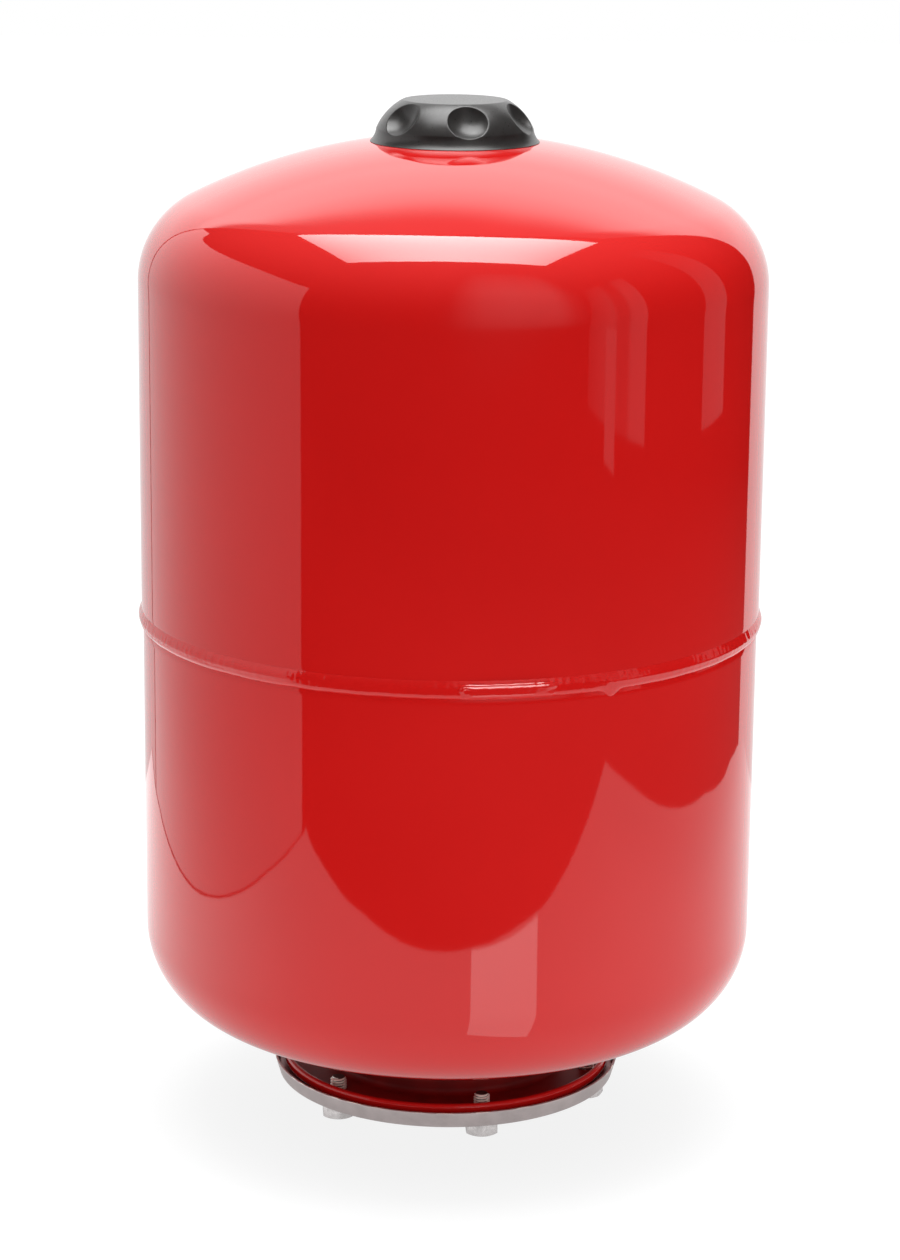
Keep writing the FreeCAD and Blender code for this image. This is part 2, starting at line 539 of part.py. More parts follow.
def flange_bolts():
    """Hexagon screws, driven up from below, whose ends stand out of the tank flange's floor."""
    body = new_body("flange_bolts")
    head_under = "dims.nipple_length - dims.head_height"
    corner = "dims.head_across / sqrt(3)"
    place_x, place_r = now("dims.bolt_circle"), now(corner)

    hexagon = new_sketch(body, "head_outline", "XY_Plane")
    hexagon.AttachmentOffset = FreeCAD.Placement(FreeCAD.Vector(0, 0, now(head_under)), FreeCAD.Rotation())
    hexagon.setExpression("AttachmentOffset.Base.z", head_under)
    around = [math.radians(60 * side) for side in range(6)]
    points = [FreeCAD.Vector(place_x + place_r * math.cos(a), place_r * math.sin(a), 0) for a in around]
    for side in range(6):
        hexagon.addGeometry(Part.LineSegment(points[side], points[(side + 1) % 6]))
    for side, angle in enumerate(range(0, 360, 60)):
        hexagon.addConstraint(Sketcher.Constraint("Coincident", side, 2, (side + 1) % 6, 1))
        hold(hexagon, "DistanceX", side, 1, f"dims.bolt_circle + {corner} * cos({angle}deg)")
        hold(hexagon, "DistanceY", side, 1, f"{corner} * sin({angle}deg)")
    head = body.newObject("PartDesign::Pad", "head")
    head.Profile = hexagon
    head.setExpression("Length", "dims.head_height")

    shank_section = new_sketch(body, "shank_section")
    end = "dims.nipple_length + dims.bolt_length"
    draw(shank_section, [
        ("dims.bolt_circle", "dims.nipple_length"),
        ("dims.bolt_circle + dims.bolt_radius", "dims.nipple_length"),
        ("dims.bolt_circle + dims.bolt_radius", f"{end} - dims.bolt_chamfer"),
        ("dims.bolt_circle + dims.bolt_radius - dims.bolt_chamfer", end),
        ("dims.bolt_circle", end),
    ])
    shank = body.newObject("PartDesign::Revolution", "shank")
    shank.Profile = shank_section
    shank.ReferenceAxis = (shank_section, ["Edge5"])
    shank.Angle = 360

    bevel_section = new_sketch(body, "bevel_section")
    draw(bevel_section, [
        ("dims.bolt_circle + dims.head_across * 0.47", head_under),
        (f"dims.bolt_circle + {corner} + dims.head_slope", head_under),
        (f"dims.bolt_circle + {corner} + dims.head_slope", f"{head_under} + dims.head_slope"),
    ])
    axis_line = bevel_section.addGeometry(
        Part.LineSegment(FreeCAD.Vector(place_x, 0, 0), FreeCAD.Vector(place_x, now("dims.nipple_length"), 0)),
        True,
    )
    hold(bevel_section, "DistanceX", axis_line, 1, "dims.bolt_circle")
    hold(bevel_section, "DistanceX", axis_line, 2, "dims.bolt_circle")
    hold(bevel_section, "DistanceY", axis_line, 2, "dims.nipple_length")
    bevel_section.addConstraint(Sketcher.Constraint("PointOnObject", axis_line, 1, -1))
    bevel = body.newObject("PartDesign::Groove", "head_bevel")
    bevel.Profile = bevel_section
    bevel.ReferenceAxis = (bevel_section, ["Axis0"])
    bevel.Angle = 360

    pattern = repeat(body, "screws", head, "dims.bolt_count")
    pattern.Originals = [head, shank, bevel]
    turned_about_axis(body, "dims.bolt_turn")
    return body


def valve_body():
    """Air valve: a tail inside the tank, a welded foot, the cap's thread and the pump's stem."""
    body = new_body("valve_body")
    tail = "places.valve_tail_end"
    thread_bore = "dims.core_radius + dims.core_play"
    turn(body, "turned_valve", [
        ("places.valve_passage", tail),
        ("dims.valve_spigot", tail),
        ("dims.valve_spigot", "places.valve_seat"),
        ("dims.foot_radius", "places.valve_seat"),
        ("dims.foot_radius", "places.foot_top"),
        ("dims.collar_radius", "places.foot_top"),
        ("dims.collar_radius", "places.stem_foot - dims.stem_chamfer"),
        ("dims.collar_radius - dims.stem_chamfer", "places.stem_foot"),
        ("dims.stem_radius", "places.stem_foot"),
        ("dims.stem_radius", "places.stem_end - dims.stem_chamfer"),
        ("dims.stem_radius - dims.stem_chamfer", "places.stem_end"),
        (thread_bore, "places.stem_end"),
        (thread_bore, "places.core_step - dims.core_play"),
        ("places.valve_passage", "places.core_step - dims.core_play"),
    ])
    return body


def valve_weld():
    body = new_body("valve_weld")
    toe = "dims.foot_radius + dims.foot_bead"
    foot = on_sphere("places.upper_middle", "+", "dims.upper_crown", "dims.foot_radius")
    turn(body, "bead", [
        ("dims.foot_radius", foot),
        (toe, on_sphere("places.upper_middle", "+", "dims.upper_crown", toe), "dims.upper_crown", "right"),
        ("dims.foot_radius", f"{foot} + dims.foot_bead", "dims.foot_bead * 1.4", "right"),
    ])
    return body


def core_barrel():
    """The valve core's tube: a threaded head with a key slot, and a narrower tube with a floor."""
    body = new_body("core_barrel")
    turn(body, "turned_tube", [
        ("dims.pin_radius + dims.pin_play", "places.core_end"),
        ("dims.core_body", "places.core_end"),
        ("dims.core_body", "places.core_step"),
        ("dims.core_radius", "places.core_step"),
        ("dims.core_radius", "places.core_top"),
        ("dims.core_bore", "places.core_top"),
        ("dims.core_bore", "places.spring_floor"),
        ("dims.pin_radius + dims.pin_play", "places.spring_floor"),
    ])
    sketch = new_sketch(body, "slot_outline")
    draw(sketch, [
        ("-dims.core_slot / 2", "places.core_top - dims.core_slot_depth"),
        ("dims.core_slot / 2", "places.core_top - dims.core_slot_depth"),
        ("dims.core_slot / 2", "places.core_top + dims.core_slot_depth"),
        ("-dims.core_slot / 2", "places.core_top + dims.core_slot_depth"),
    ])
    slot = body.newObject("PartDesign::Pocket", "key_slot")
    slot.Profile = sketch
    slot.Type = "ThroughAll"
    slot.Midplane = True
    body.Tip = slot
    return body


def core_seal():
    body = new_body("core_seal")
    turn(body, "gasket", [
        ("dims.core_body", "places.core_seat"),
        ("dims.gasket_radius", "places.core_seat"),
        ("dims.gasket_radius", "places.core_step - dims.core_play"),
        ("dims.core_body", "places.core_step"),
    ])
    return body


def core_pin():
    """The pin that a pump presses: a collar for the spring above and a foot for the cup below."""
    body = new_body("core_pin")
    collar_top = "places.collar_under + dims.pin_collar_height"
    foot_end = "places.cup_under - dims.pin_foot_height"
    turn(body, "headed_pin", [
        ("0", foot_end),
        ("dims.pin_foot", foot_end),
        ("dims.pin_foot", "places.cup_under"),
        ("dims.pin_radius", "places.cup_under"),
        ("dims.pin_radius", "places.collar_under"),
        ("dims.pin_collar", "places.collar_under"),
        ("dims.pin_collar", collar_top),
        ("dims.pin_radius", collar_top),
        ("dims.pin_radius", "places.pin_top"),
        ("0", "places.pin_top"),
    ])
    return body


def core_cup():
    body = new_body("core_cup")
    turn(body, "rubber_cup", [
        ("dims.pin_radius", "places.cup_under"),
        ("dims.cup_radius", "places.cup_under"),
        ("dims.cup_radius", "places.cup_top"),
        ("dims.pin_radius", "places.cup_top"),
    ])
    return body


def core_spring():
    """Coiled wire between the core's floor and the pin's collar."""
    body = new_body("core_spring")
    start = "places.spring_floor + dims.wire_radius + dims.coil_gap"
    rise = "places.collar_under - places.spring_floor - 2 * (dims.wire_radius + dims.coil_gap)"
    section = new_sketch(body, "wire_section")
    wire = section.addGeometry(
        Part.Circle(FreeCAD.Vector(now("dims.coil_radius"), now(start), 0), FreeCAD.Vector(0, 0, 1),
                    now("dims.wire_radius"))
    )
    size = section.addConstraint(Sketcher.Constraint("Radius", wire, now("dims.wire_radius")))
    section.setExpression(f"Constraints[{size}]", "dims.wire_radius")
    hold(section, "DistanceX", wire, 3, "dims.coil_radius")
    hold(section, "DistanceY", wire, 3, start)
    coil = body.newObject("PartDesign::AdditiveHelix", "coils")
    coil.Profile = section
    coil.ReferenceAxis = (section, ["V_Axis"])
    coil.Mode = "height-turns-angle"
    coil.Height = now(rise)
    coil.setExpression("Height", rise)
    coil.setExpression("Turns", "dims.coil_count")
    coil.Angle = 0
    body.Tip = coil
    return body


def scoop(body, name, radius):
    """Takes a ball out of the cap's side, once for each finger."""
    sketch = new_sketch(body, name + "_section")
    out, up = "dims.dimple_out", "places.cap_base + dims.dimple_up"
    draw(sketch, [
        (out, f"{up} - ({radius})"),
        (f"{out} + {radius}", up, radius, "left"),
        (out, f"{up} + {radius}", radius, "left"),
    ])
    groove = body.newObject("PartDesign::Groove", name)
    groove.Profile = sketch
    groove.ReferenceAxis = (sketch, ["Edge3"])
    groove.Angle = 360
    return repeat(body, name + "s", groove, "dims.dimple_count")


def edges_on_balls(shape):
    """Names of the edges where a finger dimple meets the cap's side."""
    found = set()
    for face in shape.Faces:
        if isinstance(face.Surface, Part.Sphere):
            for edge in face.Edges:
                is_seam = edge.isSeam(face)
                for index, candidate in enumerate(shape.Edges, start=1):
                    if not is_seam and candidate.isSame(edge):
                        found.add(f"Edge{index}")
    return sorted(found)


def cap_outside():
    body = new_body("cap_outside")
    turn(body, "dome", [
        ("0", "places.cap_base"),
        ("dims.cap_radius", "places.cap_base"),
        ("dims.cap_radius", "places.cap_base + dims.cap_foot"),
        ("dims.waist_radius", "places.cap_base + dims.waist_height", "dims.flare_round", "right"),
        ("dims.shoulder_radius", "places.cap_base + dims.shoulder_height", "dims.side_round", "left"),
        ("dims.top_radius", "places.cap_top", "dims.top_round", "left"),
        ("0", "places.cap_top"),
    ])
    dimples = scoop(body, "dimple", "dims.dimple_radius")
    doc.recompute()
    rounding = body.newObject("PartDesign::Fillet", "dimple_rounding")
    rounding.Base = (dimples, edges_on_balls(dimples.Shape))
    rounding.setExpression("Radius", "dims.dimple_edge")
    body.Tip = rounding
    turned_about_axis(body, "dims.cap_turn")
    return body


def cap_cavity():
    """The room inside the cap, round its socket and between its ribs."""
    body = new_body("cap_cavity")
    wall = "dims.cap_wall"
    below = "places.cap_base - dims.cap_wall"
    socket_outside = f"places.socket_radius + {wall}"
    turn(body, "hollow", [
        ("0", below),
        (f"dims.cap_radius - {wall}", below),
        (f"dims.cap_radius - {wall}", "places.cap_base + dims.cap_foot"),
        (f"dims.waist_radius - {wall}", "places.cap_base + dims.waist_height", "dims.flare_round", "right"),
        (f"dims.shoulder_radius - {wall}", "places.cap_base + dims.shoulder_height - dims.cap_wall",
         "dims.side_round - dims.cap_wall", "left"),
        (f"dims.top_radius - {wall}", "places.cap_ceiling", "dims.top_round", "left"),
        (socket_outside, "places.cap_ceiling"),
        (socket_outside, "places.socket_end"),
        ("places.socket_radius", "places.socket_end"),
        ("places.socket_radius", "places.cap_ceiling"),
        ("0", "places.cap_ceiling"),
    ])
    scoop(body, "dimple_wall", "dims.dimple_radius + dims.cap_wall")

    outline = new_sketch(body, "rib_outline", "XY_Plane")
    outline.AttachmentOffset = FreeCAD.Placement(
        FreeCAD.Vector(0, 0, now("places.socket_end")), FreeCAD.Rotation()
    )
    outline.setExpression("AttachmentOffset.Base.z", "places.socket_end")
    draw(outline, [
        ("places.socket_radius + dims.cap_wall / 2", "-dims.rib_wall / 2"),
        ("dims.cap_radius", "-dims.rib_wall / 2"),
        ("dims.cap_radius", "dims.rib_wall / 2"),
        ("places.socket_radius + dims.cap_wall / 2", "dims.rib_wall / 2"),
    ])
    rib = body.newObject("PartDesign::Pocket", "rib")
    rib.Profile = outline
    rib.Type = "Length"
    rib.Reversed = True
    rib.setExpression("Length", "dims.cap_height")
    ribs = repeat(body, "ribs", rib, "dims.dimple_count")
    body.Tip = ribs
    return body


def protective_cap():
    """The cap as moulded: its dimpled outside less the room inside it."""
    outside, cavity = cap_outside(), cap_cavity()
    turned_about_axis(cavity, "dims.cap_turn")
    cap = doc.addObject("Part::Cut", "protective_cap")
    cap.Label = "protective_cap"
    cap.Base, cap.Tool = outside, cavity
    return cap


def cap_seal():
    body = new_body("cap_seal")
    turn(body, "rubber_disc", [
        ("0", "places.cap_ceiling - dims.seal_height"),
        ("places.socket_radius", "places.cap_ceiling - dims.seal_height"),
        ("places.socket_radius", "places.cap_ceiling"),
        ("0", "places.cap_ceiling"),
    ])
    return body


nodes = [make() for make in (
    upper_shell, lower_shell, girth_weld, tank_flange, neck_weld, bladder, counter_flange,
    connection_nipple, nipple_weld, flange_bolts, valve_body, valve_weld, core_barrel, core_seal,
    core_pin, core_cup, core_spring, protective_cap, cap_seal,
)]
doc.recompute()

for item in doc.Objects:
    if "Invalid" in item.State or "Error" in item.State:
        raise RuntimeError(f"{item.Label} failed to compute: {item.State}")
for node in nodes:
    if node.Shape.isNull() or not node.Shape.isValid() or not node.Shape.Solids:
        raise RuntimeError(f"{node.Label} has no sound solid")

os.makedirs("parts", exist_ok=True)
for node in nodes:
    node.Shape.exportStep(f"parts/{node.Label}.step")
    print(f"{node.Label}: {len(node.Shape.Solids)} solid, {node.Shape.Volume:.1f} mm3")
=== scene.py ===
"""An expansion tank as it stands in a studio: red gloss shells welded round the middle, a bolted
zinc-plated flange under the bottom, and an air valve under a black cap with six finger dimples."""

import math

import bmesh
import bpy
from mathutils import Matrix, Vector, noise


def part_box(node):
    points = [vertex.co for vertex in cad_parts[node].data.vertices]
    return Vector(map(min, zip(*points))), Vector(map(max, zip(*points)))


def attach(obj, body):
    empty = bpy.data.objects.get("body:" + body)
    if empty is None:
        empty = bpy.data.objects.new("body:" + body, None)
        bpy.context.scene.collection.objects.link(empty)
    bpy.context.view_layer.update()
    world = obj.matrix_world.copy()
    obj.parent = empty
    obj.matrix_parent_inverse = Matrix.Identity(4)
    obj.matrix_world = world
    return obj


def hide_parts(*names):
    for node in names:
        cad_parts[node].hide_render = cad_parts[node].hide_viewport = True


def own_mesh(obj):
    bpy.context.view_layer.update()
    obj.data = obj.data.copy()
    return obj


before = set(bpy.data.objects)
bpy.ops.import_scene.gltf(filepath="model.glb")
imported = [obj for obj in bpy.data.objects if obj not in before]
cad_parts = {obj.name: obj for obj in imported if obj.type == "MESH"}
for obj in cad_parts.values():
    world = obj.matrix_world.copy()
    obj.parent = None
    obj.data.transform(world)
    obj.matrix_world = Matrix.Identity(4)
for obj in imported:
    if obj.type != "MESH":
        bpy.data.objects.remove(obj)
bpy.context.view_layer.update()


# Lower shell
# Deep-drawn steel with a flat dome at the bottom, a hole for the neck, and an upper end drawn in a
# little so that it fits inside the upper shell. Coated with glossy red powder after welding.
def section(*corners):
    """A piece's section, closed, in the XZ plane. A corner is (across, up); (across, up, parts) where a
    straight line cut into that many parts leads to it; or (across, up, radius, side, parts) where an
    arc does, with its middle on that side of the way there."""
    mesh = bmesh.new()
    pen = mesh.verts.new((corners[0][0], 0, corners[0][1]))
    for corner in corners[1:] + corners[:1]:
        start = pen.co.copy()
        finish = Vector((corner[0], 0, corner[1]))
        if len(corner) < 5:
            parts = corner[2] if len(corner) == 3 else 1
            for part in range(parts):
                pen = bmesh.ops.extrude_vert_indiv(mesh, verts=[pen])["verts"][0]
                pen.co = start.lerp(finish, (part + 1) / parts)
        else:
            radius, side, parts = corner[2:]
            half = (finish - start) / 2
            left = Vector((-half.z, 0, half.x)).normalized()
            reach = math.sqrt(max(radius ** 2 - half.length ** 2, 0))
            middle = start + half + left * (reach if side == "left" else -reach)
            turn = 2 * math.asin(min(half.length / radius, 1))
            drawn = bmesh.ops.spin(mesh, geom=[pen], cent=middle, axis=(0, 1, 0),
                                   angle=-turn if side == "left" else turn, steps=parts)
            pen = next(item for item in drawn["geom_last"] if isinstance(item, bmesh.types.BMVert))
    bmesh.ops.remove_doubles(mesh, verts=mesh.verts[:], dist=1e-7)
    return mesh


def turned(mesh, steps=256):
    """Spins a section once round the tank's axis into a closed solid."""
    bmesh.ops.spin(mesh, geom=mesh.verts[:] + mesh.edges[:], cent=(0, 0, 0), axis=(0, 0, 1),
                   angle=2 * math.pi, steps=steps, use_merge=True)
    bmesh.ops.remove_doubles(mesh, verts=mesh.verts[:], dist=1e-6)
    bmesh.ops.recalc_face_normals(mesh, faces=mesh.faces[:])
    return mesh


def made(mesh, name, material, crease=35):
    """Turns a finished mesh into an object, smooth except along edges that bend by more than crease."""
    for face in mesh.faces:
        face.smooth = True
    for edge in mesh.edges:
        edge.smooth = edge.calc_face_angle(0) < math.radians(crease)
    data = bpy.data.meshes.new(name)
    mesh.to_mesh(data)
    mesh.free()
    data.materials.append(material)
    piece = bpy.data.objects.new(name, data)
    bpy.context.scene.collection.objects.link(piece)
    return piece


def new_finish(name, color, roughness, metallic=0.0):
    """A material with one plain shader. Gives both."""
    finish = bpy.data.materials.new(name)
    finish.use_nodes = True
    shader = finish.node_tree.nodes["Principled BSDF"]
    shader.inputs["Base Color"].default_value = (*color, 1)
    shader.inputs["Roughness"].default_value = roughness
    shader.inputs["Metallic"].default_value = metallic
    return finish, shader


def pattern(finish, scale, detail=2.0, roughness=0.5, stretch=(1, 1, 1)):
    """A cloud pattern fixed to the piece, with lumps about 1/scale metres across, from 0 to 1."""
    nodes, links = finish.node_tree.nodes, finish.node_tree.links
    place = nodes.new("ShaderNodeTexCoord")
    shape = nodes.new("ShaderNodeMapping")
    shape.inputs["Scale"].default_value = stretch
    clouds = nodes.new("ShaderNodeTexNoise")
    clouds.inputs["Scale"].default_value = scale
    clouds.inputs["Detail"].default_value = detail
    clouds.inputs["Roughness"].default_value = roughness
    links.new(place.outputs["Object"], shape.inputs["Vector"])
    links.new(shape.outputs["Vector"], clouds.inputs["Vector"])
    return clouds.outputs["Fac"]


def spread(finish, source, low, high, low_value, high_value):
    """Maps a pattern between low and high on to a range of numbers or colours. Gives its output."""
    nodes, links = finish.node_tree.nodes, finish.node_tree.links
    if isinstance(low_value, tuple):
        ramp = nodes.new("ShaderNodeValToRGB")
        ramp.color_ramp.elements[0].position = low
        ramp.color_ramp.elements[1].position = high
        ramp.color_ramp.elements[0].color = (*low_value, 1)
        ramp.color_ramp.elements[1].color = (*high_value, 1)
        links.new(source, ramp.inputs["Fac"])
        return ramp.outputs["Color"]
    ramp = nodes.new("ShaderNodeMapRange")
    ramp.inputs["From Min"].default_value = low
    ramp.inputs["From Max"].default_value = high
    ramp.inputs["To Min"].default_value = low_value
    ramp.inputs["To Max"].default_value = high_value
    links.new(source, ramp.inputs["Value"])
    return ramp.outputs["Result"]


def varied(finish, shader, socket, source, low, high, low_value, high_value):
    """Lets a pattern vary one socket of a finish, such as its colour."""
    output = spread(finish, source, low, high, low_value, high_value)
    finish.node_tree.links.new(output, shader.inputs[socket])


def raised(finish, shader, source, depth, under=None):
    """Lays a pattern on the surface as relief of that depth in metres. Gives the relief's output."""
    nodes, links = finish.node_tree.nodes, finish.node_tree.links
    relief = nodes.new("ShaderNodeBump")
    relief.inputs["Strength"].default_value = 1.0
    relief.inputs["Distance"].default_value = depth
    links.new(source, relief.inputs["Height"])
    if under is not None:
        links.new(under, relief.inputs["Normal"])
    links.new(relief.outputs["Normal"], shader.inputs["Normal"])
    return relief.outputs["Normal"]


def shoulder(radius, crown, knuckle):
    """For a dome of a wide crown and a tight shoulder: how far out the two meet, how high over the
    crown's middle they meet, and how high over it the shoulder ends in the straight wall."""
    lean = math.asin((radius - knuckle) / (crown - knuckle))
    return crown * math.sin(lean), crown * math.cos(lean), (crown - knuckle) * math.cos(lean)


RED = (0.545, 0.0085, 0.0075)
RED_DEEP = (0.515, 0.0072, 0.0064)
PEEL_SIZE = 190
PEEL_DEPTH = 0.0000035
red_coat, red_shader = new_finish("red_powder_coat", RED, 0.035)
varied(red_coat, red_shader, "Base Color", pattern(red_coat, 9, 3), 0.3, 0.7, RED_DEEP, RED)
raised(red_coat, red_shader, pattern(red_coat, PEEL_SIZE, 1.5), PEEL_DEPTH)

SHELL_WALL = 0.0012
LOWER_CROWN = 0.416
LOWER_KNUCKLE = 0.0414
NECK_HOLE = 0.0546
LAP_STEP = 0.0006
LAP_RUN = 0.001
lower_low, lower_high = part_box("lower_shell")
upper_low, upper_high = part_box("upper_shell")
rim = upper_low.z
lower_radius = lower_high.x
lap_radius = lower_radius - LAP_STEP
lower_middle = lower_low.z + math.sqrt(LOWER_CROWN ** 2 - NECK_HOLE ** 2)
out_meet, out_rise, out_start = shoulder(lower_radius, LOWER_CROWN, LOWER_KNUCKLE)
in_meet = out_meet * (LOWER_CROWN - SHELL_WALL) / LOWER_CROWN
in_rise = out_rise * (LOWER_CROWN - SHELL_WALL) / LOWER_CROWN
inner_crown = LOWER_CROWN - SHELL_WALL
lower_shell = made(turned(section(
    (NECK_HOLE, lower_low.z),
    (out_meet, lower_middle - out_rise, LOWER_CROWN, "left", 12),
    (lower_radius, lower_middle - out_start, LOWER_KNUCKLE, "left", 28),
    (lower_radius, rim - LAP_RUN, 40),
    (lap_radius, rim),
    (lap_radius, lower_high.z, 2),
    (lap_radius - SHELL_WALL, lower_high.z),
    (lap_radius - SHELL_WALL, rim, 2),
    (lower_radius - SHELL_WALL, rim - LAP_RUN),
    (lower_radius - SHELL_WALL, lower_middle - out_start, 4),
    (in_meet, lower_middle - in_rise, LOWER_KNUCKLE - SHELL_WALL, "right", 14),
    (NECK_HOLE, lower_middle - math.sqrt(inner_crown ** 2 - NECK_HOLE ** 2), inner_crown, "right", 6),
)), "drawn_lower_shell", red_coat)
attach(lower_shell, "tank")
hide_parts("lower_shell")


# Upper shell
# The other deep-drawn half, with a rounder dome. Its open end slides over the lower shell's, is
# bevelled for the weld, and its top has a hole for the air valve.
UPPER_CROWN = 0.2616
UPPER_KNUCKLE = 0.0404
VALVE_HOLE = 0.0051
BEVEL_DEPTH = 0.0006
BEVEL_HEIGHT = 0.00525
upper_radius = upper_high.x
upper_middle = upper_high.z - math.sqrt(UPPER_CROWN ** 2 - VALVE_HOLE ** 2)
out_meet, out_rise, out_start = shoulder(upper_radius, UPPER_CROWN, UPPER_KNUCKLE)
inner_crown = UPPER_CROWN - SHELL_WALL
in_meet = out_meet * inner_crown / UPPER_CROWN
in_rise = out_rise * inner_crown / UPPER_CROWN
upper_shell = made(turned(section(
    (VALVE_HOLE, upper_high.z),
    (out_meet, upper_middle + out_rise, UPPER_CROWN, "right", 56),
    (upper_radius, upper_middle + out_start, UPPER_KNUCKLE, "right", 32),
    (upper_radius, rim + BEVEL_HEIGHT, 44),
    (upper_radius - BEVEL_DEPTH, rim),
    (upper_radius - SHELL_WALL, rim),
    (upper_radius - SHELL_WALL, upper_middle + out_start, 4),
    (in_meet, upper_middle + in_rise, UPPER_KNUCKLE - SHELL_WALL, "left", 14),
    (VALVE_HOLE, upper_middle + math.sqrt(inner_crown ** 2 - VALVE_HOLE ** 2), inner_crown, "left", 16),
)), "drawn_upper_shell", red_coat)
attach(upper_shell, "tank")
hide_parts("upper_shell")


# Girth weld
# One pass of weld round the upper shell's rim, flat where it runs over the wall and rolled under at
# its lower edge. It is heavier where the pass ends over its own start, and has one small run.
BEAD_DROP = 0.0015
BEAD_RISE = 0.0066
BEAD_PROUD = 0.00105
OVERLAP_FROM, OVERLAP_TO = 1.8, 18.8
OVERLAP_SECTION = ((0, 0), (0.06, 0.0006), (0.14, 0.0013), (0.22, 0.00175), (0.26, 0.00187), (0.65, 0.0023),
                   (0.75, 0.0012), (0.775, 0.00118), (0.885, 0), (1, 0))
OVERLAP_FADE = 1.6
ROLLED_FROM = 24.0
ROLLED_FADE = 9.0
ROLLED_UNDER = ((0.03, 0), (0.1, -0.00012), (0.3, -0.00015), (0.5, 0.0004), (0.65, 0.00022), (0.92, 0))
RUN_AT = 29.3
RUN_WIDTH = 1.4
RUN_LENGTH = 0.003
RIPPLE, WANDER, GRAIN = 0.00013, 0.0001, 0.00004
CAMERA_TURN = -14.0


def eased(value, start, finish):
    """0 before start, 1 after finish, and a smooth rise between."""
    share = min(max((value - start) / (finish - start), 0), 1)
    return share * share * (3 - 2 * share)


def along(value, *stops):
    """Reads a value off a line that runs through stops, each (where, how much)."""
    for (here, low), (there, high) in zip(stops, stops[1:]):
        if value <= there:
            return low + (high - low) * max(value - here, 0) / (there - here)
    return stops[-1][1]


bead = turned(section(
    (lower_radius, rim - BEAD_DROP),
    (upper_radius + BEAD_PROUD, rim + BEAD_DROP * 0.6, 0.0032, "left", 12),
    (upper_radius + BEAD_PROUD * 0.85, rim + BEAD_RISE * 0.55, 6),
    (upper_radius, rim + BEAD_RISE, 0.012, "left", 14),
    (upper_radius, rim + BEVEL_HEIGHT),
    (upper_radius - BEVEL_DEPTH, rim),
    (lap_radius, rim),
    (lower_radius, rim - LAP_RUN),
), 1440)
for point in bead.verts:
    across = math.hypot(point.co.x, point.co.y)
    angle = (math.degrees(math.atan2(point.co.x, -point.co.y)) - CAMERA_TURN + 180) % 360 - 180
    up = (point.co.z - rim + BEAD_DROP) / (BEAD_RISE + BEAD_DROP)
    if across < upper_radius - 0.0001 and up > 0.08:
        continue
    arc = Vector((point.co.x, point.co.y, 0)).normalized()
    ripple = noise.noise(Vector((arc.x * 90, arc.y * 90, up * 1.4)))
    wander = noise.noise(Vector((arc.x * 14, arc.y * 14, 3.0)))
    grain = noise.noise(Vector((arc.x * 330, arc.y * 330, up * 7)))
    crest = math.sin(math.pi * min(max(up, 0), 1)) ** 0.7
    ragged = noise.noise(Vector((arc.x * 42, arc.y * 42, up * 3)))
    ends = angle + 1.6 * ragged
    doubled = eased(ends, OVERLAP_FROM, OVERLAP_FROM + OVERLAP_FADE)
    doubled *= 1 - eased(ends, OVERLAP_TO - OVERLAP_FADE, OVERLAP_TO)
    rolled = eased(abs(angle), ROLLED_FROM, ROLLED_FROM + ROLLED_FADE) * (1 - eased(abs(angle), 150, 170))
    across += crest * (RIPPLE * ripple + WANDER * wander + GRAIN * grain)
    across += rolled * along(up, *ROLLED_UNDER)
    if doubled > 0:
        torn = 0.022 * ragged + 0.012 * noise.noise(Vector((arc.x * 110, arc.y * 110, 5.0)))
        proud = along(up + torn * eased(up, 0.4, 0.62), *OVERLAP_SECTION)
        across += doubled * max(upper_radius + proud - across, 0)
    slip = 0.0002 * wander * (1 - up) + 0.00012 * ripple
    run = math.exp(-((angle - RUN_AT) / RUN_WIDTH) ** 2) * (1 - eased(up, 0.0, 0.3))
    point.co.x, point.co.y = arc.x * across, arc.y * across
    point.co.z += slip - RUN_LENGTH * run
girth_weld = made(bead, "girth_weld_bead", red_coat, 60)
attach(girth_weld, "tank")
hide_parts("girth_weld")
girth_weld.visible_shadow = False  # the overhead lamp would draw a dark band under it


# Tank flange
# A ring pressed from 2.5 mm steel: its neck goes up into the lower shell, its floor has six tapped
# holes, and its rim is turned up. Coated red with the shells; inside the rim, on the neck and
# underneath, that red is painted much darker as painted shade.
def cut_from(mesh, tool, operation="DIFFERENCE"):
    """Cuts one closed mesh with another, and gives the result as a new mesh."""
    parts = []
    for name, source in (("cut_base", mesh), ("cut_tool", tool)):
        data = bpy.data.meshes.new(name)
        source.to_mesh(data)
        source.free()
        part = bpy.data.objects.new(name, data)
        bpy.context.scene.collection.objects.link(part)
        parts.append(part)
    base, cutter = parts
    cut = base.modifiers.new("cut", "BOOLEAN")
    cut.operation = operation
    cut.solver = "EXACT"
    cut.object = cutter
    bpy.context.view_layer.update()
    result = bmesh.new()
    result.from_object(base, bpy.context.evaluated_depsgraph_get())
    for part in parts:
        data = part.data
        bpy.data.objects.remove(part)
        bpy.data.meshes.remove(data)
    return result


def pins_on_circle(radius, circle, low, high, first, count=6, sides=32):
    """Upright round pins on a circle, to drill its holes with."""
    pins = bmesh.new()
    for index in range(count):
        angle = math.radians(first + 360 / count * index)
        place = Matrix.Translation((circle * math.cos(angle), circle * math.sin(angle), (low + high) / 2))
        bmesh.ops.create_cone(pins, cap_ends=True, segments=sides, radius1=radius, radius2=radius,
                              depth=high - low, matrix=place)
    return pins


